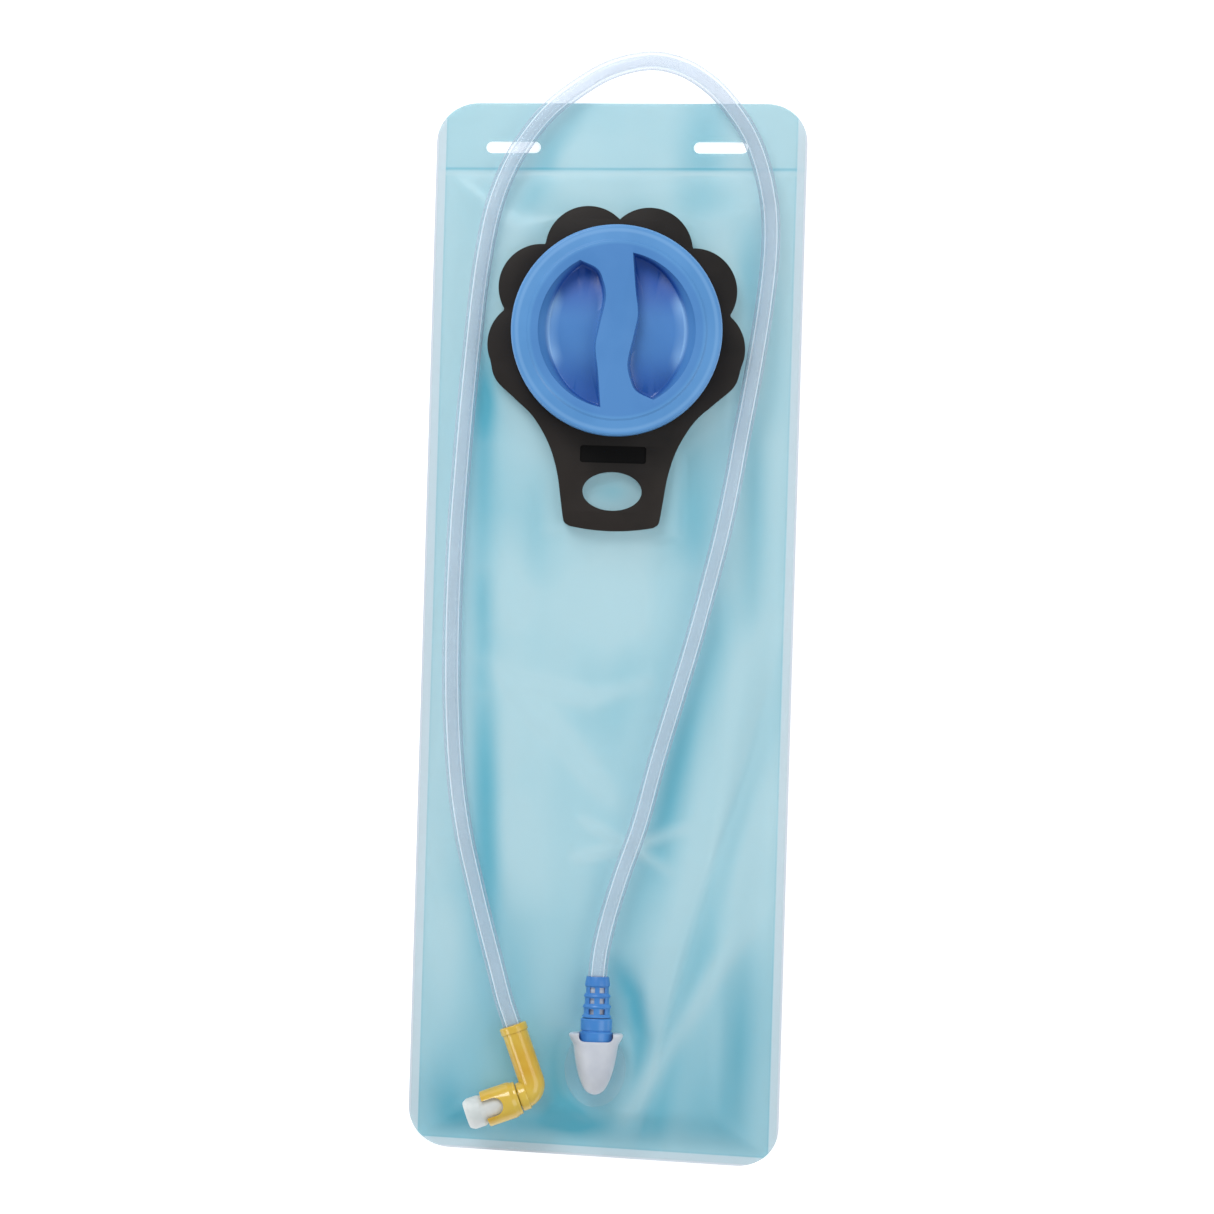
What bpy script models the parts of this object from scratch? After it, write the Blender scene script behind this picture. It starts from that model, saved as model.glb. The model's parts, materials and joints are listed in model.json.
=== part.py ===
"""A hydration bladder: a welded film bag with a screw filler, an outlet port, a drink hose and a bite valve.

The bag lies on its back. +Z is its front, +Y its top hem and +X its right side. The origin is under
the middle of the bag, on the surface that it lies on. Lengths are in metres.
"""

import math

import bmesh
import bpy
from mathutils import Matrix, Vector

# Clearance between pieces that touch.
GAP = 0.0003

# Bag.
BAG_WIDTH = 0.161
BAG_LENGTH = 0.462
BAG_CORNER = 0.0175
FILM = 0.0008
WELD = 0.007
HEM = 0.029
PILLOW_HEIGHT = 0.013
SIDE_RAMP = 0.025
TOP_RAMP = 0.020
FOOT_RAMP = 0.012
INNER_CORNER = 0.012
CROWN_CORNER = 0.020
SLOT_LENGTH = 0.024
SLOT_WIDTH = 0.005
SLOT_X = 0.045
SLOT_FROM_TOP = 0.0195

# Filler: neck, grip collar, lid and gasket, all round one upright axis.
FILLER_Y = 0.1304
ROUND_STEPS = 48
NECK_BORE = 0.0385
NECK_RADIUS = 0.041
NECK_TOP = 0.033
FLANGE_RADIUS = 0.0465
FLANGE = 0.002
BEAD_RADIUS = 0.0422
FILLER_HOLE = 0.0414
COLLAR_THICKNESS = 0.0055
COLLAR_ROUNDING = 0.0011
LID_RADIUS = 0.0462
LID_TOP = 0.037
LID_FOOT = 0.0212
LID_SKIRT_BORE = 0.043
LID_CEILING = 0.035
LID_STEP_RADIUS = 0.0396
LID_CUP_FLOOR = 0.0234
POCKET_RADIUS = 0.0345
POCKET_FLOOR = 0.026
THREAD_LEAD = 0.006
THREAD_RIDGE = 0.0009
THREAD_START = 0.0226
THREAD_TURNS = 1.4

# Flower outline of the grip collar, seen from the front and measured from the filler axis.
LOBE_ANGLES = (20.5, 61.0, 100.0)
LOBE_RADIUS = 0.019
FLOWER_RADIUS = 0.0572
FLOWER_END = 104.0
HANDLE_SIDE = (
    (0.0525, -0.0225),
    (0.0440, -0.0305),
    (0.0355, -0.0385),
    (0.0285, -0.0500),
    (0.0245, -0.0620),
    (0.0224, -0.0750),
    (0.0214, -0.0815),
    (0.0206, -0.0843),
    (0.0185, -0.0858),
)
HANDLE_END = -0.0877
FINGER_HOLE = (0.026, 0.017)
FINGER_HOLE_Y = -0.0702
PANEL = (0.029, 0.0075, 0.0008)
PANEL_Y = -0.0540

# Bar side of the lid's right-hand recess, from its top end to its bottom end.
BAR_SIDE = (
    (0.0061, 0.0340),
    (0.0076, 0.0185),
    (0.0090, 0.0077),
    (0.0076, -0.0012),
    (0.0051, -0.0139),
    (0.0066, -0.0218),
    (0.0095, -0.0267),
    (0.0169, -0.0301),
)

# Outlet: port, valve, plug, collar and boot round one level axis that points to the top hem.
PORT_Y = -0.1775
FLUID_AXIS_Z = 0.0215
PORT_LENGTH = 0.0272
PORT_RADIUS = 0.0118
PORT_FLATTEN = 0.82
PORT_BORE = 0.0044
PORT_BORE_DEPTH = 0.0233
PORT_MOUTH = 0.0076
PORT_MOUTH_DEPTH = 0.005
PORT_LUMEN = 0.0024
PORT_LUMEN_DEPTH = 0.0185
SPIGOT_RADIUS = 0.0042
SPIGOT_HOLE = 0.0046
PORT_FLANGE = (0.0135, 0.0170)
PORT_FLANGE_Y = -0.1935
PORT_FLANGE_THICKNESS = 0.001
PLUG_NOZZLE = 0.0038
PLUG_BORE = 0.0022
PLUG_NOSE = -0.0108
PLUG_END = 0.0120
O_RING = 0.0005
O_RING_CENTRE = 0.0037
PLUG_GROOVES = (-0.0088, -0.0062)
BOOT_START = 0.0068
BOOT_END = 0.0248
BOOT_WINDOW_ROWS = (0.0095, 0.0142, 0.0189)

# Hose.
HOSE_RADIUS = 0.0042
HOSE_SOCKET = 0.0045
HOSE_POINTS = 78

# Bite valve: the elbow's corner, and the direction of its hose arm.
ELBOW_CORNER = (-0.0259, -0.2041)
ELBOW_ANGLE = 20.5
ELBOW_RADIUS = 0.0056
HOSE_ARM = 0.0305
SOCKET_DEPTH = 0.0135
ELBOW_BORE = 0.0029
SHORT_ARM = 0.0074
STEM_RADIUS = 0.0036
STEM_END = 0.0190
STEM_BORE = 0.0020
STEM_GROOVE = 0.0105
SLEEVE_RADIUS = 0.0079
SLEEVE_END = 0.0235
NOTCH_WIDTH = 0.0080
NOTCH_DEPTH = 0.0085
MOUTHPIECE_TIP = 0.0320

# Route of the hose's middle, from the plug to the bite valve, as it lies on the bag and on the floor.
HOSE_ROUTE = (
    (0.0000, -0.1652, 0.0215),
    (0.0000, -0.1580, 0.0215),
    (0.0000, -0.1510, 0.0215),
    (0.0012, -0.1395, 0.0211),
    (0.0045, -0.1245, 0.0197),
    (0.0095, -0.1070, 0.0182),
    (0.0166, -0.0850, 0.0177),
    (0.0232, -0.0578, 0.0177),
    (0.0305, -0.0310, 0.0177),
    (0.0373, -0.0060, 0.0177),
    (0.0436, 0.0200, 0.0177),
    (0.0486, 0.0420, 0.0177),
    (0.0527, 0.0640, 0.0163),
    (0.0562, 0.0860, 0.0148),
    (0.0592, 0.1040, 0.0135),
    (0.0618, 0.1210, 0.0123),
    (0.0648, 0.1440, 0.0110),
    (0.0666, 0.1660, 0.0102),
    (0.0663, 0.1830, 0.0101),
    (0.0643, 0.1960, 0.0092),
    (0.0606, 0.2090, 0.0075),
    (0.0554, 0.2205, 0.0067),
    (0.0480, 0.2310, 0.0066),
    (0.0390, 0.2405, 0.0052),
    (0.0262, 0.2482, 0.0045),
    (0.0115, 0.2508, 0.0045),
    (-0.0055, 0.2466, 0.0046),
    (-0.0205, 0.2374, 0.0058),
    (-0.0332, 0.2265, 0.0068),
    (-0.0430, 0.2136, 0.0072),
    (-0.0500, 0.2005, 0.0092),
    (-0.0553, 0.1850, 0.0134),
    (-0.0585, 0.1690, 0.0140),
    (-0.0612, 0.1480, 0.0128),
    (-0.0633, 0.1220, 0.0117),
    (-0.0652, 0.0950, 0.0109),
    (-0.0667, 0.0680, 0.0102),
    (-0.0680, 0.0400, 0.0097),
    (-0.0686, 0.0050, 0.0094),
    (-0.0678, -0.0330, 0.0098),
    (-0.0650, -0.0670, 0.0110),
    (-0.0608, -0.0920, 0.0129),
    (-0.0555, -0.1130, 0.0152),
    (-0.0505, -0.1310, 0.0174),
    (-0.0455, -0.1480, 0.0194),
    (-0.0410, -0.1635, 0.0210),
    (-0.0386, -0.1702, 0.0215),
    (-0.0366, -0.1756, 0.0215),
    (-0.0324, -0.1867, 0.0215),
)


def new_collection(name, shown=True):
    made = bpy.data.collections.new(name)
    made.hide_render = not shown
    bpy.context.scene.collection.children.link(made)
    return made


def clear_scene():
    for obj in list(bpy.data.objects):
        bpy.data.objects.remove(obj)


clear_scene()
PARTS = new_collection("hydration_bladder")
CUTTERS = new_collection("cutters", shown=False)


# Materials.


def material(name, colour, roughness, metallic=0.0):
    made = bpy.data.materials.new(name)
    made.use_nodes = True
    surface = made.node_tree.nodes["Principled BSDF"]
    surface.inputs["Base Color"].default_value = (*colour, 1.0)
    surface.inputs["Roughness"].default_value = roughness
    surface.inputs["Metallic"].default_value = metallic
    made.diffuse_color = (*colour, 1.0)
    return made


AQUA_FILM = material("aqua_film", (0.42, 0.66, 0.75), 0.30)
BLUE_PLASTIC = material("blue_plastic", (0.08, 0.30, 0.68), 0.32)
BLACK_PLASTIC = material("black_plastic", (0.030, 0.026, 0.024), 0.50)
WHITE_PLASTIC = material("white_plastic", (0.74, 0.76, 0.78), 0.38)
YELLOW_PLASTIC = material("yellow_plastic", (0.70, 0.45, 0.05), 0.35)
CLEAR_TUBE = material("clear_tube", (0.62, 0.74, 0.86), 0.15)
SILICONE = material("silicone", (0.66, 0.70, 0.70), 0.45)
DARK_RUBBER = material("dark_rubber", (0.02, 0.02, 0.02), 0.60)
SPRING_STEEL = material("spring_steel", (0.60, 0.60, 0.60), 0.25, 1.0)


# Building helpers.


def add_object(name, mesh_data, finish=None, parent=None):
    """A part when it has a finish, and a hidden cutter when it has none."""
    obj = bpy.data.objects.new(name, mesh_data)
    obj.parent = parent
    if finish is None:
        CUTTERS.objects.link(obj)
        obj.hide_render = True
        obj.display_type = "WIRE"
    else:
        PARTS.objects.link(obj)
        mesh_data.materials.append(finish)
    return obj


def from_bmesh(name, shape, finish=None, parent=None):
    mesh = bpy.data.meshes.new(name)
    shape.to_mesh(mesh)
    shape.free()
    mesh.shade_smooth()
    mesh.set_sharp_from_angle(angle=math.radians(35))
    return add_object(name, mesh, finish, parent)


def axis_empty(name, place, turn=(0.0, 0.0, 0.0), parent=None):
    """An empty whose Z axis is the axis that its pieces are round."""
    empty = bpy.data.objects.new(name, None)
    empty.location = place
    empty.rotation_euler = [math.radians(angle) for angle in turn]
    empty.parent = parent
    empty.empty_display_size = 0.01
    PARTS.objects.link(empty)
    return empty


def turned(name, profile, finish=None, parent=None, steps=32, closed=False):
    """A profile of (radius, height) points swept round the parent's Z axis."""
    shape = bmesh.new()
    points = [shape.verts.new((radius, 0.0, height)) for radius, height in profile]
    for first, second in zip(points, points[1:]):
        shape.edges.new((first, second))
    if closed:
        shape.edges.new((points[-1], points[0]))
    obj = from_bmesh(name, shape, finish, parent)
    screw = obj.modifiers.new("Turn", "SCREW")
    screw.steps = steps
    screw.render_steps = steps
    screw.use_merge_vertices = True
    screw.merge_threshold = 0.000001
    return obj


def ring(name, centre_radius, height, section, finish, parent, steps=20, sides=6):
    """An O-ring of a round section."""
    profile = []
    for side in range(sides):
        angle = math.pi / 2 - 2 * math.pi * side / sides
        profile.append((centre_radius + section * math.cos(angle), height + section * math.sin(angle)))
    return turned(name, profile, finish, parent, steps, closed=True)


def cylinder(name, radius, low, high, finish=None, parent=None, steps=28):
    shape = bmesh.new()
    middle = Matrix.Translation((0.0, 0.0, (low + high) / 2))
    bmesh.ops.create_cone(shape, cap_ends=True, segments=steps, radius1=radius, radius2=radius,
                          depth=high - low, matrix=middle)
    return from_bmesh(name, shape, finish, parent)


def block(name, size, centre, parent=None, rounding=0.0, finish=None):
    """A box, with its upright edges rounded when a rounding is given."""
    shape = bmesh.new()
    bmesh.ops.create_cube(shape, matrix=Matrix.Translation(centre) @ Matrix.Diagonal((*size, 1.0)))
    if rounding:
        upright = [edge for edge in shape.edges
                   if abs(edge.verts[0].co.z - edge.verts[1].co.z) > size[2] / 2]
        bmesh.ops.bevel(shape, geom=upright, offset=rounding, segments=4, profile=0.5, affect="EDGES")
    return from_bmesh(name, shape, finish, parent)


def wire(name, points, radius, finish=None, parent=None, resolution=2):
    """A round wire or tube with closed ends along the points."""
    curve = bpy.data.curves.new(name, "CURVE")
    curve.dimensions = "3D"
    curve.bevel_depth = radius
    curve.bevel_resolution = resolution
    curve.use_fill_caps = True
    spline = curve.splines.new("POLY")
    spline.points.add(len(points) - 1)
    for target, point in zip(spline.points, points):
        target.co = (*point, 1.0)
    return add_object(name, curve, finish, parent)


def flat_outline(name, outlines, low, high, finish=None, parent=None):
    """A flat plate from closed outlines, the first outside and the rest holes."""
    curve = bpy.data.curves.new(name, "CURVE")
    curve.dimensions = "2D"
    curve.fill_mode = "BOTH"
    curve.extrude = (high - low) / 2
    for outline in outlines:
        spline = curve.splines.new("POLY")
        spline.points.add(len(outline) - 1)
        spline.use_cyclic_u = True
        for target, (x, y) in zip(spline.points, outline):
            target.co = (x, y, 0.0, 1.0)
    obj = add_object(name, curve, finish, parent)
    obj.location.z = (low + high) / 2
    return as_mesh(obj, finish)


def as_mesh(curve_object, finish=None):
    """The same shape as a welded mesh, in place of the curve."""
    bpy.context.view_layer.update()
    graph = bpy.context.evaluated_depsgraph_get()
    mesh = bpy.data.meshes.new_from_object(curve_object.evaluated_get(graph))
    shape = bmesh.new()
    shape.from_mesh(mesh)
    bmesh.ops.remove_doubles(shape, verts=shape.verts, dist=0.000001)
    shape.to_mesh(mesh)
    shape.free()
    mesh.materials.clear()
    mesh.shade_smooth()
    mesh.set_sharp_from_angle(angle=math.radians(35))
    name = curve_object.name
    place = curve_object.matrix_world.copy()
    bpy.data.objects.remove(curve_object)
    obj = add_object(name, mesh, finish)
    obj.matrix_world = place
    return obj


def boolean(target, tool, operation):
    modifier = target.modifiers.new(tool.name, "BOOLEAN")
    modifier.operation = operation
    modifier.object = tool


def cut(target, *tools):
    for tool in tools:
        boolean(target, tool, "DIFFERENCE")


def join(target, *tools):
    for tool in tools:
        boolean(target, tool, "UNION")


def smooth_curve(points, per_span):
    """Points on a Catmull-Rom curve through the given points, ends included."""
    points = [Vector(point) for point in points]
    ends = [2 * points[0] - points[1]] + points + [2 * points[-1] - points[-2]]
    found = []
    for before, start, stop, after in zip(ends, ends[1:], ends[2:], ends[3:]):
        for step in range(per_span):
            t = step / per_span
            found.append(0.5 * (2 * start + (stop - before) * t
                                + (2 * before - 5 * start + 4 * stop - after) * t ** 2
                                + (3 * start - before - 3 * stop + after) * t ** 3))
    return found + [points[-1]]


def evenly_spaced(points, count):
    """The polyline through the points, resampled to equal steps."""
    lengths = [0.0]
    for first, second in zip(points, points[1:]):
        lengths.append(lengths[-1] + (second - first).length)
    found = []
    span = 0
    for index in range(count):
        wanted = lengths[-1] * index / (count - 1)
        while span < len(points) - 2 and lengths[span + 1] < wanted:
            span += 1
        share = (wanted - lengths[span]) / (lengths[span + 1] - lengths[span])
        found.append(points[span].lerp(points[span + 1], min(share, 1.0)))
    return found


def helix(radius, start, turns, first_turn=0.0, per_turn=20, lead=THREAD_LEAD):
    """Points on a right-handed helix round the Z axis."""
    found = []
    for index in range(round(turns * per_turn) + 1):
        turn = first_turn + index / per_turn
        angle = 2 * math.pi * turn
        found.append((radius * math.cos(angle), radius * math.sin(angle), start + lead * index / per_turn))
    return found


def ellipse(width, height, centre=(0.0, 0.0), steps=32):
    return [(centre[0] + width / 2 * math.cos(2 * math.pi * step / steps),
             centre[1] + height / 2 * math.sin(2 * math.pi * step / steps)) for step in range(steps)]


# Bag.


def rounded_loop(shape, half_width, low, high, corner, height, corner_steps=6):
    """Edges of a rectangle with round corners, level at a height."""
    corners = (
        (half_width - corner, high - corner, 0),
        (corner - half_width, high - corner, 90),
        (corner - half_width, low + corner, 180),
        (half_width - corner, low + corner, 270),
    )
    points = []
    for x, y, start in corners:
        for step in range(corner_steps + 1):
            angle = math.radians(start + 90 * step / corner_steps)
            place = (x + corner * math.cos(angle), y + corner * math.sin(angle), height)
            points.append(shape.verts.new(place))
    return [shape.edges.new(pair) for pair in zip(points, points[1:] + points[:1])]


def thicken(obj):
    """Gives a surface the film's thickness, downwards."""
    solidify = obj.modifiers.new("Film", "SOLIDIFY")
    solidify.thickness = FILM
    solidify.offset = -1.0
    solidify.use_even_offset = True


def face_up(shape):
    bmesh.ops.recalc_face_normals(shape, faces=shape.faces)
    if sum(face.normal.z * face.calc_area() for face in shape.faces) < 0:
        bmesh.ops.reverse_faces(shape, faces=shape.faces)


def hem_slot_cutters():
    return [
        block(f"slot_cutter_{side}", (SLOT_LENGTH, SLOT_WIDTH, 0.010),
              (x, BAG_LENGTH / 2 - SLOT_FROM_TOP, 0.0), rounding=SLOT_WIDTH / 2 - 0.0001)
        for side, x in (("left", -SLOT_X), ("right", SLOT_X))
    ]


def make_back_film(slots):
    shape = bmesh.new()
    half_length = BAG_LENGTH / 2
    outer = rounded_loop(shape, BAG_WIDTH / 2, -half_length, half_length, BAG_CORNER, FILM)
    bmesh.ops.contextual_create(shape, geom=outer)
    face_up(shape)
    film = from_bmesh("back_film", shape, AQUA_FILM)
    thicken(film)
    cut(film, *slots)


def make_front_film(slots):
    """A low pillow with a flat weld band round it and a flat hem at the top."""
    half_width = BAG_WIDTH / 2
    half_length = BAG_LENGTH / 2
    weld_top = 2 * FILM + GAP
    inner_low = WELD - half_length
    inner_high = half_length - HEM
    inner_width = half_width - WELD
    shape = bmesh.new()
    outer = rounded_loop(shape, half_width, -half_length, half_length, BAG_CORNER, weld_top)
    inner = rounded_loop(shape, inner_width, inner_low, inner_high, INNER_CORNER, weld_top)
    crown = rounded_loop(shape, inner_width - SIDE_RAMP, inner_low + FOOT_RAMP, inner_high - TOP_RAMP,
                         CROWN_CORNER, PILLOW_HEIGHT)
    bmesh.ops.bridge_loops(shape, edges=outer + inner)
    bmesh.ops.bridge_loops(shape, edges=inner + crown)
    bmesh.ops.contextual_create(shape, geom=crown)
    face_up(shape)
    film = from_bmesh("front_film", shape, AQUA_FILM)
    thicken(film)
    filler = cylinder("filler_cutter", FILLER_HOLE, 0.0, 0.020, steps=ROUND_STEPS)
    filler.location.y = FILLER_Y
    spigot = cylinder("spigot_cutter", SPIGOT_HOLE, 0.005, 0.020)
    spigot.location.y = PORT_Y - PORT_LUMEN_DEPTH
    cut(film, filler, spigot, *slots)


# Filler.


def make_fill_neck(axis):
    film_under = PILLOW_HEIGHT - FILM
    flange_top = film_under - GAP
    flange_low = flange_top - FLANGE
    collar_top = PILLOW_HEIGHT + GAP + COLLAR_THICKNESS
    profile = (
        (NECK_BORE + 0.0008, NECK_TOP),
        (NECK_RADIUS - 0.0006, NECK_TOP),
        (NECK_RADIUS, NECK_TOP - 0.0006),
        (NECK_RADIUS, collar_top + 0.0016),
        (BEAD_RADIUS, collar_top + 0.0012),
        (BEAD_RADIUS, collar_top + 0.0007),
        (NECK_RADIUS, collar_top + GAP),
        (NECK_RADIUS, flange_top),
        (FLANGE_RADIUS, flange_top),
        (FLANGE_RADIUS, flange_low + 0.0005),
        (FLANGE_RADIUS - 0.0005, flange_low),
        (NECK_BORE, flange_low),
        (NECK_BORE, NECK_TOP - 0.0008),
    )
    neck = turned("fill_neck", profile, WHITE_PLASTIC, axis, ROUND_STEPS, closed=True)
    ridge = wire("neck_thread", helix(NECK_RADIUS + 0.0004, THREAD_START, THREAD_TURNS),
                 THREAD_RIDGE, parent=axis)
    join(neck, as_mesh(ridge))


def flower_radius(angle):
    """Distance from the filler axis to the flower's edge, as lobes of one radius."""
    centre = FLOWER_RADIUS - LOBE_RADIUS
    best = 0.0
    for lobe in LOBE_ANGLES:
        away = math.radians(angle - lobe)
        inside = LOBE_RADIUS ** 2 - (centre * math.sin(away)) ** 2
        if inside > 0:
            best = max(best, centre * math.cos(away) + math.sqrt(inside))
    return best


def collar_outline():
    """Half of the outline from the top notch to the handle's end, and its mirror image."""
    half = []
    flower_steps = 30
    for step in range(flower_steps + 1):
        angle = FLOWER_END * step / flower_steps
        reach = flower_radius(angle)
        half.append(Vector((reach * math.sin(math.radians(angle)), reach * math.cos(math.radians(angle)))))
    side = smooth_curve([half[-1], *HANDLE_SIDE], 2)
    half += side[1:]
    end_x, end_y = HANDLE_SIDE[-1]
    end_steps = 4
    for step in range(1, end_steps):
        x = end_x * (1 - step / end_steps)
        half.append(Vector((x, HANDLE_END + (end_y - HANDLE_END) * (x / end_x) ** 2)))
    half[0].x = 0.0
    mirrored = [Vector((-point.x, point.y)) for point in reversed(half[1:])]
    return half + [Vector((0.0, HANDLE_END))] + mirrored


def make_grip_collar(axis):
    low = PILLOW_HEIGHT + GAP
    high = low + COLLAR_THICKNESS
    neck_hole = ellipse(2 * FILLER_HOLE, 2 * FILLER_HOLE, steps=ROUND_STEPS)
    finger_hole = ellipse(*FINGER_HOLE, centre=(0.0, FINGER_HOLE_Y))
    collar = flat_outline("grip_collar", (collar_outline(), neck_hole, finger_hole), low, high,
                          BLACK_PLASTIC, axis)
    bevel = collar.modifiers.new("Rounding", "BEVEL")
    bevel.width = COLLAR_ROUNDING
    bevel.segments = 2
    bevel.limit_method = "ANGLE"
    bevel.angle_limit = math.radians(60)
    panel = block("panel_cutter", (PANEL[0], PANEL[1], 2 * PANEL[2]), (0.0, PANEL_Y, high), axis,
                  rounding=0.0015)
    cut(collar, panel)


def pocket_loop(shape, scale, shift, height):
    """Outline of a lid recess: an arc with the bar's wavy side, shrunk and moved off the bar."""
    bar = smooth_curve(BAR_SIDE, 2)
    start = math.atan2(*BAR_SIDE[-1])
    stop = math.atan2(*BAR_SIDE[0])
    outline = list(bar)
    arc_steps = 18
    for step in range(1, arc_steps):
        angle = start + (stop - start) * step / arc_steps
        outline.append(Vector((POCKET_RADIUS * math.sin(angle), POCKET_RADIUS * math.cos(angle))))
    points = [shape.verts.new((point.x * scale + shift, point.y * scale, height)) for point in outline]
    return [shape.edges.new(pair) for pair in zip(points, points[1:] + points[:1])]


def pocket_cutter(name, axis, turn):
    floor_scale = 0.861
    floor_shift = 0.0018
    over = 0.001
    slope = over / (LID_TOP - POCKET_FLOOR)
    shape = bmesh.new()
    top = pocket_loop(shape, 1 + slope * (1 - floor_scale), -slope * floor_shift, LID_TOP + over)
    floor = pocket_loop(shape, floor_scale, floor_shift, POCKET_FLOOR)
    bmesh.ops.bridge_loops(shape, edges=top + floor)
    bmesh.ops.contextual_create(shape, geom=top)
    bmesh.ops.contextual_create(shape, geom=floor)
    bmesh.ops.recalc_face_normals(shape, faces=shape.faces)
    cutter = from_bmesh(name, shape, parent=axis)
    cutter.rotation_euler.z = turn
    return cutter


def make_screw_lid(axis):
    """A skirted disc with a cup in the neck's bore, and two recesses that leave the S-shaped bar."""
    profile = (
        (0.0, LID_TOP),
        (LID_STEP_RADIUS - 0.0005, LID_TOP),
        (LID_STEP_RADIUS, LID_TOP - 0.0005),
        (LID_RADIUS - 0.0010, LID_TOP - 0.0008),
        (LID_RADIUS - 0.0003, LID_TOP - 0.0011),
        (LID_RADIUS, LID_TOP - 0.0018),
        (LID_RADIUS, LID_FOOT + 0.0006),
        (LID_RADIUS - 0.0006, LID_FOOT),
        (LID_SKIRT_BORE, LID_FOOT),
        (LID_SKIRT_BORE, LID_CEILING),
        (0.0366, LID_CEILING),
        (0.0322, LID_CUP_FLOOR + 0.0012),
        (0.0308, LID_CUP_FLOOR),
        (0.0, LID_CUP_FLOOR),
    )
    lid = turned("screw_lid", profile, BLUE_PLASTIC, axis, ROUND_STEPS)
    ridge = wire("lid_thread",
                 helix(LID_SKIRT_BORE - 0.0004, THREAD_START, 1.2, first_turn=0.5),
                 THREAD_RIDGE, parent=axis)
    join(lid, as_mesh(ridge))
    cut(lid, pocket_cutter("recess_right", axis, 0.0), pocket_cutter("recess_left", axis, math.pi))


def make_lid_gasket(axis):
    low = NECK_TOP + GAP
    high = LID_CEILING - GAP
    inner = 0.0374
    outer = 0.0424
    profile = ((inner, high), (outer, high), (outer, low), (inner, low))
    turned("lid_gasket", profile, SILICONE, axis, ROUND_STEPS, closed=True)


# Outlet. The axis points from the port's mouth to the hose, so the port is at negative heights.


def make_outlet_port(axis):
    """A tapering hood on a flange, with the plug's bore along it and a spigot down through the film."""
    tail = -PORT_LENGTH
    profile = (
        (0.0, 0.0),
        (PORT_RADIUS - 0.0010, 0.0),
        (PORT_RADIUS, -0.0010),
        (PORT_RADIUS * 0.97, tail * 0.30),
        (PORT_RADIUS * 0.85, tail * 0.55),
        (PORT_RADIUS * 0.66, tail * 0.78),
        (PORT_RADIUS * 0.42, tail * 0.93),
        (PORT_RADIUS * 0.18, tail * 0.99),
        (0.0, tail),
    )
    hood = turned("outlet_port", profile, WHITE_PLASTIC, axis, 32)
    hood.scale.y = PORT_FLATTEN
    base = PILLOW_HEIGHT + GAP
    under = block("port_base_cutter", (0.06, 0.06, 0.02), (0.0, PORT_Y - 0.015, base - 0.01))
    flange = flat_outline("port_flange", (ellipse(2 * PORT_FLANGE[0], 2 * PORT_FLANGE[1],
                                                  (0.0, PORT_FLANGE_Y), 40),),
                          base, base + PORT_FLANGE_THICKNESS)
    spigot = cylinder("port_spigot", SPIGOT_RADIUS, PILLOW_HEIGHT - FILM - 0.0015, base + 0.003)
    lumen = cylinder("port_lumen", PORT_LUMEN, PILLOW_HEIGHT - 0.005, FLUID_AXIS_Z, steps=20)
    for tool in (spigot, lumen):
        tool.location.y = PORT_Y - PORT_LUMEN_DEPTH
    bore = cylinder("port_bore", PORT_BORE, -PORT_BORE_DEPTH, 0.01, parent=axis)
    mouth = cylinder("port_mouth", PORT_MOUTH, -PORT_MOUTH_DEPTH, 0.01, parent=axis, steps=40)
    cut(hood, under)
    join(hood, flange, spigot)
    cut(hood, bore, mouth, lumen)


def make_port_valve(axis):
    """The poppet that the plug holds open, its seal and its spring."""
    head = PLUG_NOSE - GAP
    profile = (
        (0.0, head),
        (0.0014, head),
        (0.0014, head - 0.0012),
        (0.0026, head - 0.0018),
        (0.0026, head - 0.0022),
        (0.0021, head - 0.0023),
        (0.0021, head - 0.0037),
        (0.0026, head - 0.0038),
        (0.0026, head - 0.0044),
        (0.0, head - 0.0044),
    )
    turned("port_poppet", profile, WHITE_PLASTIC, axis, 16)
    ring("poppet_seal", 0.0029, head - 0.0030, O_RING, DARK_RUBBER, axis)
    turns = 4
    wire_radius = 0.0003
    start = -PORT_BORE_DEPTH + wire_radius + GAP
    lead = (head - 0.0044 - 2 * GAP - wire_radius - start) / turns
    coil = helix(0.0027, start, turns, per_turn=10, lead=lead)
    wire("poppet_spring", coil, wire_radius, SPRING_STEEL, axis)


def make_hose_plug(axis):
    """A tubular plug with a grooved nozzle in the port and a core inside the collar and the boot."""
    profile = [(PLUG_BORE, PLUG_END), (0.0039, PLUG_END), (0.0041, PLUG_END - 0.0006), (0.0041, -0.0045)]
    profile.append((PLUG_NOZZLE, -0.0048))
    for groove in reversed(PLUG_GROOVES):
        profile.append((PLUG_NOZZLE, groove + 0.0007))
        profile.append((0.0030, groove + 0.0007))
        profile.append((0.0030, groove - 0.0007))
        profile.append((PLUG_NOZZLE, groove - 0.0007))
    profile += [(PLUG_NOZZLE, PLUG_NOSE + 0.0005), (PLUG_NOZZLE - 0.0005, PLUG_NOSE), (PLUG_BORE, PLUG_NOSE)]
    turned("hose_plug", profile, WHITE_PLASTIC, axis, 20, closed=True)
    for name, groove in zip(("inner", "outer"), PLUG_GROOVES):
        ring(f"plug_o_ring_{name}", O_RING_CENTRE, groove, O_RING, DARK_RUBBER, axis)


def make_coupling_collar(axis):
    low = -0.0043
    high = BOOT_START - GAP
    profile = (
        (0.0044, high), (0.0064, high), (0.0069, high - 0.0005), (0.0069, 0.0014),
        (0.0065, 0.0011), (0.0065, 0.0007), (0.0072, 0.0004),
        (0.0072, low + 0.0005), (0.0067, low), (0.0044, low),
    )
    turned("coupling_collar", profile, BLUE_PLASTIC, axis, 24, closed=True)


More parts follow.
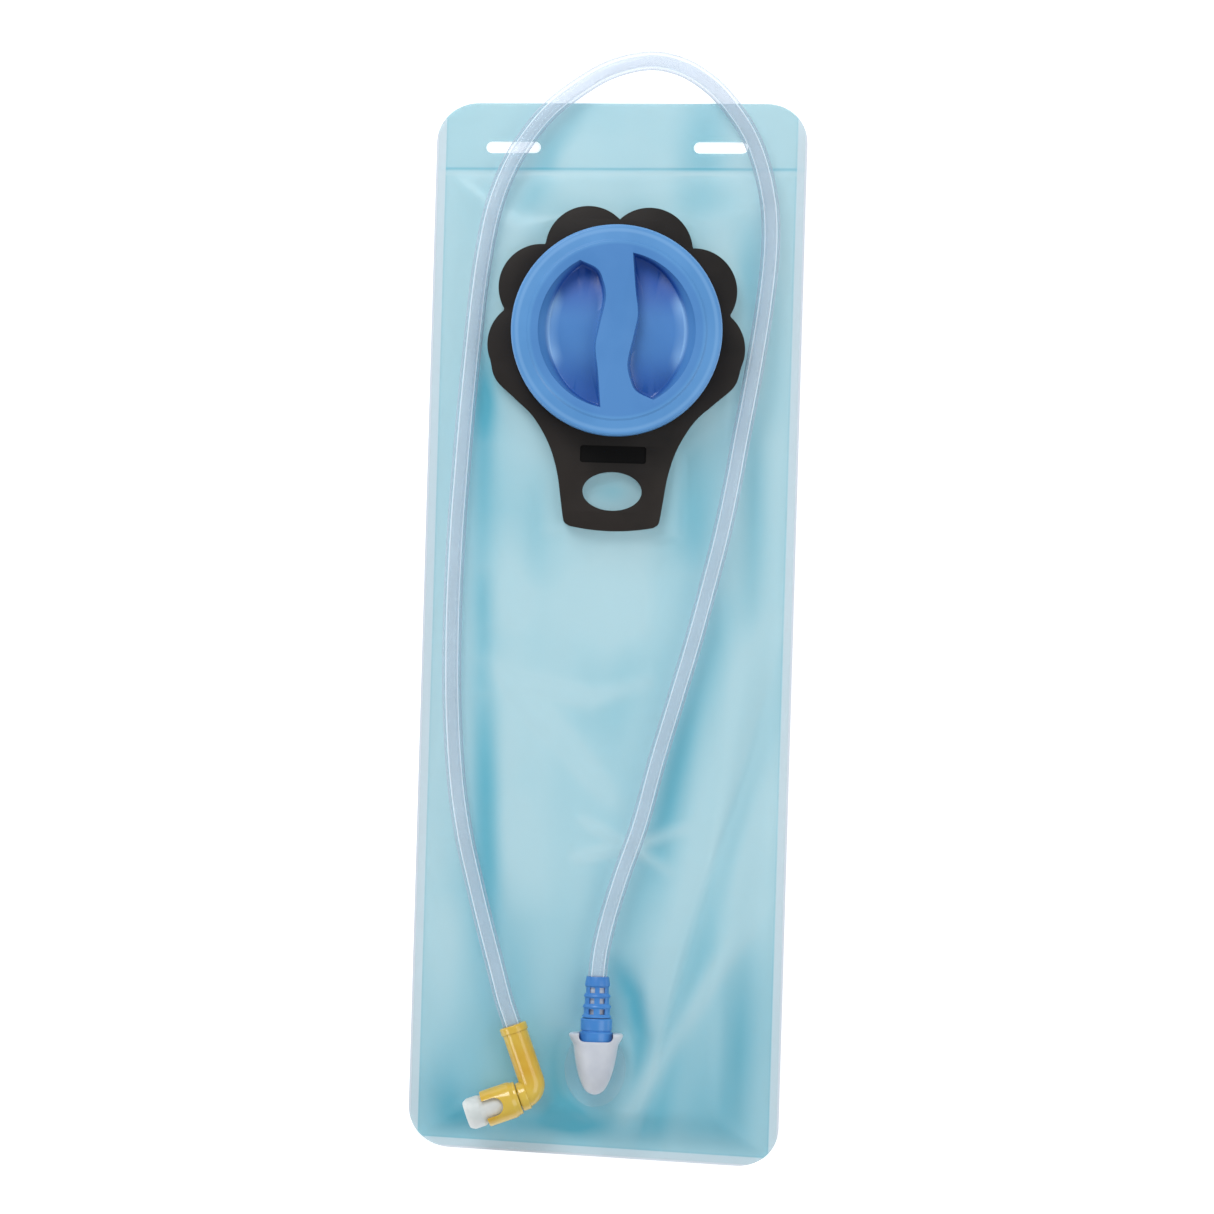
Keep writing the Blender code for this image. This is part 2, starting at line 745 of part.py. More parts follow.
def make_strain_relief_boot(axis):
    """A tapered sleeve with four columns of flex windows, ribbed between their rows."""
    root_radius = 0.0064
    end_radius = 0.0053
    taper = (end_radius - root_radius) / (BOOT_END - BOOT_START)
    profile = [(HOSE_SOCKET, BOOT_END), (end_radius - 0.0003, BOOT_END), (end_radius, BOOT_END - 0.0006)]
    for row in reversed(BOOT_WINDOW_ROWS):
        radius = root_radius + taper * (row - BOOT_START)
        profile.append((radius, row + 0.0017))
        profile.append((radius - 0.0004, row + 0.0013))
        profile.append((radius - 0.0004, row - 0.0013))
        profile.append((radius, row - 0.0017))
    profile += [(root_radius, BOOT_START), (HOSE_SOCKET, BOOT_START)]
    boot = turned("strain_relief_boot", profile, BLUE_PLASTIC, axis, 24, closed=True)
    for index, row in enumerate(BOOT_WINDOW_ROWS):
        for turn in (63, 117):
            window = block(f"window_cutter_{index}_{turn}", (0.016, 0.0026, 0.0024), (0.0, 0.0, row), axis)
            window.rotation_euler.z = math.radians(turn)
            cut(boot, window)


# Hose and bite valve.


def make_drink_hose():
    route = evenly_spaced(smooth_curve(HOSE_ROUTE, 8), HOSE_POINTS)
    wire("drink_hose", route, HOSE_RADIUS, CLEAR_TUBE)


def make_valve_elbow(elbow_axis, stem_axis):
    """A hose arm with its socket, a ball corner, and a short arm with the stem that the valve turns on."""
    elbow = cylinder("valve_elbow", ELBOW_RADIUS, -0.0012, HOSE_ARM, YELLOW_PLASTIC, elbow_axis)
    corner = bmesh.new()
    bmesh.ops.create_uvsphere(corner, u_segments=22, v_segments=13, radius=ELBOW_RADIUS + 0.0005)
    corner = from_bmesh("elbow_ball", corner, parent=elbow_axis)
    profile = (
        (0.0, STEM_END),
        (STEM_RADIUS - 0.0004, STEM_END),
        (STEM_RADIUS, STEM_END - 0.0004),
        (STEM_RADIUS, STEM_GROOVE + 0.0007),
        (0.0028, STEM_GROOVE + 0.0007),
        (0.0028, STEM_GROOVE - 0.0007),
        (STEM_RADIUS, STEM_GROOVE - 0.0007),
        (STEM_RADIUS, SHORT_ARM),
        (ELBOW_RADIUS + 0.0008, SHORT_ARM),
        (ELBOW_RADIUS + 0.0008, 0.0017),
        (0.0, 0.0017),
    )
    arm = turned("elbow_arm", profile, parent=stem_axis, steps=30)
    socket = cylinder("elbow_socket", HOSE_SOCKET, HOSE_ARM - SOCKET_DEPTH, HOSE_ARM + 0.01,
                      parent=elbow_axis)
    bore = cylinder("elbow_bore", ELBOW_BORE, 0.0, HOSE_ARM, parent=elbow_axis, steps=24)
    stem_bore = cylinder("stem_bore", STEM_BORE, 0.0, STEM_END - 0.0015, parent=stem_axis, steps=24)
    outlet = cylinder("stem_outlet", 0.0010, -0.01, 0.01, parent=stem_axis, steps=16)
    outlet.location.z = STEM_END - 0.0030
    outlet.rotation_euler.x = math.radians(90)
    join(elbow, corner, arm)
    cut(elbow, socket, bore, stem_bore, outlet)


def make_valve_seals(elbow_axis, stem_axis):
    high = HOSE_ARM - SOCKET_DEPTH + 0.0013
    low = high - 0.0010
    profile = ((0.0030, high), (0.0042, high), (0.0042, low), (0.0030, low))
    turned("swivel_seal", profile, DARK_RUBBER, elbow_axis, 20, closed=True)
    ring("stem_o_ring", 0.0035, STEM_GROOVE, O_RING, DARK_RUBBER, stem_axis)


def make_shutoff_collar(axis):
    """A sleeve that turns on the stem, with two U notches in its front edge."""
    low = SHORT_ARM + GAP
    bore = 0.0042
    socket = 0.0065
    socket_start = 0.0136
    profile = (
        (socket, SLEEVE_END), (SLEEVE_RADIUS - 0.0004, SLEEVE_END), (SLEEVE_RADIUS, SLEEVE_END - 0.0005),
        (SLEEVE_RADIUS, low + 0.0040), (SLEEVE_RADIUS - 0.0009, low + 0.0004),
        (SLEEVE_RADIUS - 0.0013, low), (bore, low), (bore, socket_start), (socket, socket_start),
    )
    sleeve = turned("shutoff_collar", profile, YELLOW_PLASTIC, axis, 32, closed=True)
    half = NOTCH_WIDTH / 2
    floor = SLEEVE_END - NOTCH_DEPTH + half
    outline = [(half, 0.01), (-half, 0.01)]
    for step in range(9):
        angle = math.pi + math.pi * step / 8
        outline.append((half * math.cos(angle), half * math.sin(angle)))
    notch = flat_outline("notch_cutter", (outline,), -0.012, 0.012)
    notch.parent = axis
    notch.matrix_world = Matrix.Identity(4)
    notch.location = (0.0, 0.0, floor)
    notch.rotation_euler.x = math.radians(90)
    cut(sleeve, notch)


def make_bite_mouthpiece(axis):
    """A hollow silicone nipple that plugs into the sleeve, with a slit across its tip."""
    low = 0.0139
    tip = MOUTHPIECE_TIP
    bore = 0.0041
    profile = (
        (0.0, tip), (0.0030, tip - 0.0003), (0.0052, tip - 0.0014), (0.0066, tip - 0.0034),
        (0.0070, tip - 0.0055), (0.0066, tip - 0.0076), (0.0060, tip - 0.0090),
        (0.0060, low + 0.0004), (0.0056, low),
        (bore, low), (bore, tip - 0.0060), (0.0034, tip - 0.0036), (0.0020, tip - 0.0026), (0.0, tip - 0.0022),
    )
    mouthpiece = turned("bite_mouthpiece", profile, SILICONE, axis, 24)
    slit = block("slit_cutter", (0.0070, 0.0005, 0.0080), (0.0, 0.0, tip), axis)
    cut(mouthpiece, slit)


def build():
    filler_axis = axis_empty("filler_axis", (0.0, FILLER_Y, 0.0))
    port_axis = axis_empty("port_axis", (0.0, PORT_Y, FLUID_AXIS_Z), (-90.0, 0.0, 0.0))
    elbow_axis = axis_empty("elbow_axis", (*ELBOW_CORNER, FLUID_AXIS_Z), (-90.0, 0.0, ELBOW_ANGLE))
    stem_axis = axis_empty("stem_axis", (0.0, 0.0, 0.0), (0.0, -90.0, 0.0), elbow_axis)
    bpy.context.view_layer.update()
    slots = hem_slot_cutters()
    make_back_film(slots)
    make_front_film(slots)
    make_fill_neck(filler_axis)
    make_grip_collar(filler_axis)
    make_screw_lid(filler_axis)
    make_lid_gasket(filler_axis)
    make_outlet_port(port_axis)
    make_port_valve(port_axis)
    make_hose_plug(port_axis)
    make_coupling_collar(port_axis)
    make_strain_relief_boot(port_axis)
    make_drink_hose()
    make_valve_elbow(elbow_axis, stem_axis)
    make_valve_seals(elbow_axis, stem_axis)
    make_shutoff_collar(stem_axis)
    make_bite_mouthpiece(stem_axis)


build()
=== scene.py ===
"""The looks of a hydration bladder that lies on its back, seen from straight above.

Lengths are in metres unless a comment says tenths of a millimetre, in the frame of the CAD model:
+Z is the bag's front, +Y its top hem.
"""

import json
from math import atan2, cos, degrees, pi, radians, sin, sqrt, tan

import bmesh
import bpy
import numpy as np
from mathutils import Matrix, Vector, geometry, noise


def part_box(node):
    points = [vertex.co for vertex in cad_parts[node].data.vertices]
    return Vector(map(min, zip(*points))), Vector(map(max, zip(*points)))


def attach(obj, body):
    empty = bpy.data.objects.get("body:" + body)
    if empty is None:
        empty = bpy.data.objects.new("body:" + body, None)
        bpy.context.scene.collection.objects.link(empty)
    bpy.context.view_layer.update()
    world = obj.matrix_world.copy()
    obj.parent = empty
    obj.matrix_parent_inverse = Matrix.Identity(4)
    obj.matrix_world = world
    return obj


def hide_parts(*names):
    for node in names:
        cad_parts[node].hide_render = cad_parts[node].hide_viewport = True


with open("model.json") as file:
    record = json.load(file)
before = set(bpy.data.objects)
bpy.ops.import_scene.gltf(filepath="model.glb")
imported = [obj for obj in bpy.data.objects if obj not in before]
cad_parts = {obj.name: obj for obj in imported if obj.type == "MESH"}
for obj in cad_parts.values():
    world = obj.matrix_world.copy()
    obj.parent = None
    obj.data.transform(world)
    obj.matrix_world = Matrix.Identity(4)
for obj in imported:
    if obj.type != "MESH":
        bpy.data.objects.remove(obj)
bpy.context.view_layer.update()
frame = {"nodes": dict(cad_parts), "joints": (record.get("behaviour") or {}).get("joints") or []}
JOINTS = {joint["name"]: joint for joint in frame["joints"]}

# Places that come from the frame.
_, BACK_HIGH = map(Vector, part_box("back_film"))
_, FRONT_HIGH = map(Vector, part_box("front_film"))
COLLAR_LOW, COLLAR_HIGH = map(Vector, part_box("grip_collar"))
LID_LOW, LID_HIGH = map(Vector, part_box("screw_lid"))
PORT_LOW, PORT_HIGH = map(Vector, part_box("outlet_port"))
BAND_LOW, BAND_HIGH = map(Vector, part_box("coupling_collar"))
BOOT_LOW, BOOT_HIGH = map(Vector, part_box("strain_relief_boot"))
FILLER = (LID_LOW + LID_HIGH) / 2
HALF_WIDTH = BACK_HIGH.x
HALF_LENGTH = BACK_HIGH.y
PORT_AXIS = Vector(JOINTS["plug_swivel"]["pos_m"])
ELBOW_CORNER = Vector(JOINTS["elbow_swivel"]["pos_m"])
HOSE_ARM_WAY = Vector(JOINTS["elbow_swivel"]["axis"]).normalized()
STEM_WAY = Vector(JOINTS["shutoff_twist"]["axis"]).normalized()
UP = Vector((0.0, 0.0, 1.0))

# Holes round the filler's axis: across the neck's, and the size and place of the handle's.
NECK_HOLE = 0.0828
FINGER_HOLE = (0.026, 0.017)
FINGER_DROP = 0.0702

# The outlet on the film: the middle of its flange, and the hole under it.
PORT_FOOT_Y = -0.1935
PORT_HOLE_Y = PORT_AXIS.y - 0.0185

TENTHS = 10000


def metres(*points):
    """Points in metres, from points in tenths of a millimetre."""
    return [tuple(value / TENTHS for value in point) for point in points]


# The hose: its route is the one of the CAD model, in tenths of a millimetre.
HOSE_RADIUS = 0.0042
HOSE_BORE = 0.0028
HOSE_ROUTE = metres(
    (0, -1652, 215), (0, -1580, 215), (0, -1510, 215), (12, -1395, 211), (45, -1245, 197),
    (95, -1070, 182), (166, -850, 177), (232, -578, 177), (305, -310, 177), (373, -60, 177),
    (436, 200, 177), (486, 420, 177), (527, 640, 163), (562, 860, 148), (592, 1040, 135),
    (618, 1210, 123), (648, 1440, 110), (666, 1660, 102), (663, 1830, 101), (643, 1960, 92),
    (606, 2090, 75), (554, 2205, 67), (480, 2310, 66), (390, 2405, 52), (262, 2482, 45),
    (115, 2508, 45), (-55, 2466, 46), (-205, 2374, 58), (-332, 2265, 68), (-430, 2136, 72),
    (-500, 2005, 92), (-553, 1850, 134), (-585, 1690, 140), (-612, 1480, 128), (-633, 1220, 117),
    (-652, 950, 109), (-667, 680, 102), (-680, 400, 97), (-686, 50, 94), (-678, -330, 98),
    (-650, -670, 110), (-608, -920, 129), (-555, -1130, 152), (-505, -1310, 174),
    (-455, -1480, 194), (-410, -1635, 210), (-386, -1702, 215), (-366, -1756, 215),
    (-324, -1867, 215),
)


# ---------------------------------------------------------------- camera, lights and floor

VIEW_CENTRE = Vector((-0.0007, 0.0094, 0.013))
VIEW_WIDTH = 0.534
VIEW_ROLL = radians(-1.68)
LENS = 200.0
SENSOR = 36.0


def make_camera():
    data = bpy.data.cameras.new("view")
    data.lens = LENS
    data.sensor_width = SENSOR
    camera = bpy.data.objects.new("view", data)
    distance = VIEW_WIDTH * LENS / SENSOR
    camera.location = VIEW_CENTRE + Vector((0.0, 0.0, distance))
    camera.rotation_euler = (0.0, 0.0, -VIEW_ROLL)
    bpy.context.scene.collection.objects.link(camera)
    bpy.context.scene.camera = camera


def area_light(name, place, size, power):
    data = bpy.data.lights.new(name, "AREA")
    data.shape = "SQUARE"
    data.size = size
    data.energy = power
    light = bpy.data.objects.new(name, data)
    light.location = place
    light.rotation_euler = (VIEW_CENTRE - Vector(place)).to_track_quat("-Z", "Y").to_euler()
    bpy.context.scene.collection.objects.link(light)


def make_stage():
    scene = bpy.context.scene
    scene.view_settings.view_transform = "Standard"
    scene.view_settings.look = "None"
    scene.cycles.transparent_max_bounces = 24
    world = bpy.data.worlds.new("soft_white")
    world.use_nodes = True
    sky = world.node_tree.nodes["Background"].inputs
    sky["Color"].default_value = (1.0, 1.0, 1.0, 1.0)
    sky["Strength"].default_value = 0.40
    scene.world = world
    area_light("key", (-0.45, 1.00, 1.15), 0.7, 12.0)
    area_light("fill", (0.95, -0.25, 1.2), 1.0, 6.0)
    area_light("low", (-1.1, -0.7, 0.7), 0.5, 3.0)
    bpy.ops.mesh.primitive_plane_add(size=6.0, location=(0.0, 0.0, -0.0004))
    floor = bpy.context.object
    floor.name = "floor"
    shader = Shader("floor_white")
    shader.set(Base_Color=(0.90, 0.90, 0.90), Roughness=0.9, Specular_IOR_Level=0.1,
               Emission_Color=(1.0, 1.0, 1.0), Emission_Strength=0.50)
    floor.data.materials.append(shader.material)


# ---------------------------------------------------------------- node helpers


class Shader:
    """A material under construction, with short ways to add and join nodes."""

    def __init__(self, name):
        self.material = bpy.data.materials.new(name)
        self.material.use_nodes = True
        self.nodes = self.material.node_tree.nodes
        self.links = self.material.node_tree.links
        self.surface = self.nodes["Principled BSDF"]
        self.output = self.nodes["Material Output"]
        place = self.nodes.new("ShaderNodeTexCoord")
        self.place = place.outputs["Object"]

    def add(self, kind, inputs=(), **values):
        """A node with its settings, and its inputs as (name or number, value or socket)."""
        node = self.nodes.new(kind)
        for name, value in values.items():
            setattr(node, name, value)
        for name, value in inputs:
            self.feed(node.inputs[name], value)
        return node

    def feed(self, socket, value):
        """Gives a socket a number, a colour or vector, or another node's output."""
        if isinstance(value, bpy.types.NodeSocket):
            self.links.new(value, socket)
        elif socket.type == "RGBA":
            socket.default_value = (*value, 1.0)
        else:
            socket.default_value = value

    def set(self, **values):
        """Principled inputs by name, with _ for a space."""
        for name, value in values.items():
            self.feed(self.surface.inputs[name.replace("_", " ")], value)

    def noise(self, scale, detail=3.0, stretch=(1.0, 1.0, 1.0)):
        """Noise on object coordinates, which are multiplied by a stretch for each axis."""
        mapping = self.add("ShaderNodeMapping", (("Scale", stretch), ("Vector", self.place)))
        texture = self.add("ShaderNodeTexNoise", (("Scale", scale), ("Detail", detail),
                                                  ("Vector", mapping.outputs["Vector"])))
        return texture.outputs["Fac"]

    def spread(self, source, low, high, new_low=0.0, new_high=1.0):
        """Maps a value's range onto another, held at its ends."""
        node = self.add("ShaderNodeMapRange", (
            ("Value", source), ("From Min", low), ("From Max", high),
            ("To Min", new_low), ("To Max", new_high)), interpolation_type="SMOOTHSTEP")
        return node.outputs["Result"]

    def stripe(self, source, rise, risen, fall, fallen):
        """1 between risen and fall, 0 outside rise and fallen."""
        return self.maths("MULTIPLY", self.spread(source, rise, risen),
                          self.spread(source, fall, fallen, 1.0, 0.0))

    def mixed(self, factor, first, second):
        """A colour between two, each a colour or a socket."""
        node = self.add("ShaderNodeMix", data_type="RGBA")
        colours = [socket for socket in node.inputs if socket.type == "RGBA"]
        for socket, value in zip(colours, (first, second)):
            self.feed(socket, value)
        self.feed(node.inputs["Factor"], factor)
        return [socket for socket in node.outputs if socket.type == "RGBA"][0]

    def maths(self, operation, first, second):
        node = self.add("ShaderNodeMath", ((0, first), (1, second)), operation=operation)
        return node.outputs["Value"]

    def plus(self, total, *terms):
        """A value with shares of others added, each a (value, share)."""
        for value, share in terms:
            total = self.maths("ADD", total, self.maths("MULTIPLY", value, share))
        return total

    def from_filler(self):
        """Distance from the filler's axis."""
        flat = self.add("ShaderNodeVectorMath", ((0, self.place), (1, (1.0, 1.0, 0.0))),
                        operation="MULTIPLY")
        node = self.add("ShaderNodeVectorMath", (
            (0, flat.outputs["Vector"]), (1, (FILLER.x, FILLER.y, 0.0))), operation="DISTANCE")
        return node.outputs["Value"]

    def attribute(self, name):
        return self.add("ShaderNodeAttribute", attribute_name=name).outputs["Fac"]

    def bump(self, height, strength, distance):
        node = self.add("ShaderNodeBump", (
            ("Height", height), ("Strength", strength), ("Distance", distance)))
        self.set(Normal=node.outputs["Normal"])


# Radii on the lid's top: where the painted shade of its face stops, and where the painted highlight
# ring on its rim starts and stops.
LID_SHADED_FACE = (0.0372, 0.0385)
LID_HIGHLIGHT_RING = (0.0425, 0.0436, 0.0440, 0.0450)
# The colour of the lid's painted highlights.
PAINTED_HIGHLIGHT_BLUE = (0.30, 0.55, 0.88)


def moulded(name, colour, dark, roughness, grain=900.0, grain_strength=0.06, subsurface=0.0,
            coat=0.0, gloss=0.5, deep=None):
    """Moulded plastic: slight colour drift, fine surface grain and faint scuffs in its gloss.

    With a deep colour it is the lid's: painted shade darkens its face and its recesses, and painted
    highlights lighten a ring on its rim and a crescent on each recess's outer wall."""
    shader = Shader(name)
    drift = shader.spread(shader.noise(35.0), 0.35, 0.65)
    paint = shader.mixed(drift, dark, colour)
    if deep:
        reach = shader.from_filler()
        # Painted shade darkens the face inside the rim.
        paint = shader.mixed(shader.spread(reach, *LID_SHADED_FACE, 0.24, 0.0), paint, deep)
        # A painted highlight ring on the rim.
        ring = shader.stripe(reach, *LID_HIGHLIGHT_RING)
        paint = shader.mixed(shader.maths("MULTIPLY", ring, 0.25), paint, PAINTED_HIGHLIGHT_BLUE)
        # Painted shade in the recesses, then a painted highlight crescent on each outer wall.
        paint = shader.mixed(shader.attribute("painted_shade"), paint, deep)
        paint = shader.mixed(shader.attribute("painted_highlight"), paint, PAINTED_HIGHLIGHT_BLUE)
    scuffs = shader.noise(160.0, detail=5.0, stretch=(1.0, 0.25, 1.0))
    shader.set(Base_Color=paint, Specular_IOR_Level=gloss,
               Roughness=shader.spread(scuffs, 0.3, 0.75, roughness - 0.02, roughness + 0.03))
    if subsurface:
        shader.set(Subsurface_Weight=subsurface, Subsurface_Scale=0.004,
                   Subsurface_Radius=(1.0, 1.0, 1.0))
    if coat:
        shader.set(Coat_Weight=coat, Coat_Roughness=0.12)
    shader.bump(shader.noise(grain, detail=2.0), grain_strength, 0.0003)
    return shader.material


def see_through(shader, tint, opacity):
    """Mixes the surface with a tinted clear one. Opacity is a value or a socket."""
    clear = shader.add("ShaderNodeBsdfTransparent", (("Color", tint),))
    mix = shader.add("ShaderNodeMixShader", (
        ("Fac", opacity), (1, clear.outputs["BSDF"]), (2, shader.surface.outputs["BSDF"])))
    shader.feed(shader.output.inputs["Surface"], mix.outputs["Shader"])


# ---------------------------------------------------------------- mesh helpers


def add_mesh(name, mesh, finish, body, replaces=()):
    """Links a piece, gives it its finish and fastens it to its body."""
    piece = bpy.data.objects.new(name, mesh)
    bpy.context.scene.collection.objects.link(piece)
    mesh.materials.clear()
    mesh.materials.append(finish)
    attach(piece, body)
    if replaces:
        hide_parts(*replaces)
    return piece


def put_attribute(mesh, name, values):
    attribute = mesh.attributes.new(name, "FLOAT", "POINT")
    attribute.data.foreach_set("value", values.astype(np.float32))


def skin(shape, rings, inwards=False):
    """Joins rings of vertices, each to the next, by faces."""
    for first, second in zip(rings, rings[1:]):
        for index in range(len(first)):
            after = (index + 1) % len(first)
            corners = (first[index], first[after], second[after], second[index])
            shape.faces.new(corners if not inwards else corners[::-1])


def capped(name, shape, rings):
    """The helper object of a skin, with its first and last ring filled."""
    shape.faces.new(rings[0])
    shape.faces.new(rings[-1])
    bmesh.ops.recalc_face_normals(shape, faces=shape.faces)
    return scratch(name, shape)


def scratch(name, shape, matrix=None):
    """A helper object of a bmesh. It is removed once its piece is baked."""
    mesh = bpy.data.meshes.new(name)
    shape.to_mesh(mesh)
    shape.free()
    for face in mesh.polygons:
        face.use_smooth = True
    obj = bpy.data.objects.new(name, mesh)
    bpy.context.scene.collection.objects.link(obj)
    if matrix is not None:
        obj.matrix_world = matrix
    return obj


def lathe(name, profile, matrix=None, steps=96, closed=False, arc_steps=4):
    """A profile of (radius, height) or (radius, height, rounding) points, swept round Z. It runs
    from top to bottom on its outer side."""
    shape = bmesh.new()
    if len(profile[0]) == 3:
        profile = rounded_profile(profile, arc_steps)
    points = [shape.verts.new((radius, 0.0, height)) for radius, height in profile]
    for pair in zip(points, points[1:]):
        shape.edges.new(pair)
    if closed:
        shape.edges.new((points[-1], points[0]))
    obj = scratch(name, shape, matrix)
    screw = obj.modifiers.new("Turn", "SCREW")
    screw.steps = steps
    screw.render_steps = steps
    screw.use_merge_vertices = True
    screw.merge_threshold = 0.000001
    return obj


def rounded_profile(points, steps):
    """Each corner of a profile that has a rounding becomes a short arc."""
    found = []
    count = len(points)
    for index, (radius, height, rounding) in enumerate(points):
        here = Vector((radius, height))
        if not rounding:
            found.append(tuple(here))
            continue
        before = Vector(points[index - 1][:2]) - here
        after = Vector(points[(index + 1) % count][:2]) - here
        angle = before.angle(after)
        reach = min(rounding / tan(angle / 2), before.length * 0.49, after.length * 0.49)
        start = here + before.normalized() * reach
        stop = here + after.normalized() * reach
        for step in range(steps + 1):
            t = step / steps
            found.append(tuple((1 - t) ** 2 * start + 2 * t * (1 - t) * here + t ** 2 * stop))
    return found


def prism(name, outlines, low, high, matrix=None):
    """A solid from closed flat outlines, the first outside and the rest holes."""
    curve = bpy.data.curves.new(name, "CURVE")
    curve.dimensions = "2D"
    curve.fill_mode = "BOTH"
    curve.extrude = (high - low) / 2
    for outline in outlines:
        spline = curve.splines.new("POLY")
        spline.points.add(len(outline) - 1)
        spline.use_cyclic_u = True
        for target, (x, y) in zip(spline.points, outline):
            target.co = (x, y, 0.0, 1.0)
    holder = bpy.data.objects.new(name, curve)
    bpy.context.scene.collection.objects.link(holder)
    bpy.context.view_layer.update()
    graph = bpy.context.evaluated_depsgraph_get()
    mesh = bpy.data.meshes.new_from_object(holder.evaluated_get(graph))
    bpy.data.objects.remove(holder)
    shape = bmesh.new()
    shape.from_mesh(mesh)
    bmesh.ops.remove_doubles(shape, verts=shape.verts, dist=0.0000005)
    bmesh.ops.translate(shape, verts=shape.verts, vec=(0.0, 0.0, (low + high) / 2))
    bmesh.ops.recalc_face_normals(shape, faces=shape.faces)
    return scratch(name, shape, matrix)


def boolean(target, *tools, operation="DIFFERENCE"):
    for tool in tools:
        modifier = target.modifiers.new(tool.name, "BOOLEAN")
        modifier.operation = operation
        modifier.object = tool


def bevel(target, width, segments=3, angle=35):
    modifier = target.modifiers.new("Rounding", "BEVEL")
    modifier.width = width
    modifier.segments = segments
    modifier.limit_method = "ANGLE"
    modifier.angle_limit = radians(angle)
    modifier.miter_outer = "MITER_ARC"
    modifier.use_clamp_overlap = True


def baked(obj, *tools, sharp=38):
    """The object's final mesh in world space. The object and its tools are removed."""
    bpy.context.view_layer.update()
    graph = bpy.context.evaluated_depsgraph_get()
    mesh = bpy.data.meshes.new_from_object(obj.evaluated_get(graph), depsgraph=graph)
    mesh.transform(obj.matrix_world)
    for helper in (obj, *tools):
        bpy.data.objects.remove(helper)
    shape = bmesh.new()
    shape.from_mesh(mesh)
    bmesh.ops.remove_doubles(shape, verts=shape.verts, dist=0.0000002)
    bmesh.ops.recalc_face_normals(shape, faces=shape.faces)
    shape.to_mesh(mesh)
    shape.free()
    mesh.shade_smooth()
    mesh.set_sharp_from_angle(angle=radians(sharp))
    return mesh


def axis_matrix(origin, way):
    """A frame whose Z runs along way and whose Y points up."""
    z = Vector(way).normalized()
    y = (UP - z * UP.dot(z)).normalized()
    x = y.cross(z)
    return Matrix.Translation(origin) @ Matrix((x, y, z)).transposed().to_4x4()


def smooth_curve(points, per_span):
    """Points on a Catmull-Rom curve through the given points, ends included."""
    points = [Vector(point) for point in points]
    ends = [2 * points[0] - points[1]] + points + [2 * points[-1] - points[-2]]
    found = []
    for before, start, stop, after in zip(ends, ends[1:], ends[2:], ends[3:]):
        for step in range(per_span):
            t = step / per_span
            found.append(0.5 * (2 * start + (stop - before) * t
                                + (2 * before - 5 * start + 4 * stop - after) * t ** 2
                                + (3 * start - before - 3 * stop + after) * t ** 3))
    return found + [points[-1]]


def ellipse(width, height, centre=(0.0, 0.0), steps=64):
    return [(centre[0] + width / 2 * cos(2 * pi * step / steps),
             centre[1] + height / 2 * sin(2 * pi * step / steps)) for step in range(steps)]


def arcs(centres, radius, turn, steps):
    """Points on arcs of one radius. Each has a centre and the angle where it starts, in degrees."""
    return [(x + radius * cos(angle), y + radius * sin(angle)) for x, y, start in centres
            for angle in (radians(start + turn * step / steps) for step in range(steps + 1))]


def rounded_box(width, height, rounding, centre=(0.0, 0.0), steps=6):
    corners = ((1, 1, 0), (-1, 1, 90), (-1, -1, 180), (1, -1, 270))
    return arcs([(centre[0] + sx * (width / 2 - rounding), centre[1] + sy * (height / 2 - rounding),
                  start) for sx, sy, start in corners], rounding, 90, steps)


def ring_tube(shape, centres, radius, sides, inwards=False):
    """Rings of vertices round a line of points, joined by faces. The rings come back."""
    rings = []
    sideways = None
    for index, centre in enumerate(centres):
        way = (centres[min(index + 1, len(centres) - 1)] - centres[max(index - 1, 0)]).normalized()
        if sideways is None:
            sideways = way.orthogonal().normalized()
        sideways = (sideways - way * sideways.dot(way)).normalized()
        across = way.cross(sideways)
        rings.append([shape.verts.new(centre + radius * (cos(a) * sideways + sin(a) * across))
                      for a in (2 * pi * side / sides for side in range(sides))])
    skin(shape, rings, inwards)
    return rings


# ---------------------------------------------------------------- hose


def clear_tube_material(name, colour, faint, strong, painted_glow):
    """Clear tube: nearly invisible face on, milky towards its edges, where an emission adds a
    painted highlight glow.
    """
    shader = Shader(name)
    haze = shader.spread(shader.noise(45.0, detail=2.0), 0.3, 0.7)
    facing = shader.add("ShaderNodeLayerWeight", (("Blend", 0.5),))
    edge = shader.spread(facing.outputs["Facing"], 0.28, 0.88)
    # The emission is a painted highlight glow towards the edges; the tube is no lamp.
    shader.set(Base_Color=shader.mixed(haze, tuple(0.93 * part for part in colour), colour),
               Roughness=0.10, IOR=1.45, Emission_Color=colour,
               Emission_Strength=shader.maths("MULTIPLY", edge, painted_glow))
    opacity = shader.plus(faint, (edge, strong - faint))
    covered = shader.attribute("covered")
    see_through(shader, (0.965, 0.975, 0.99), shader.maths("MAXIMUM", opacity, covered))
    return shader.material


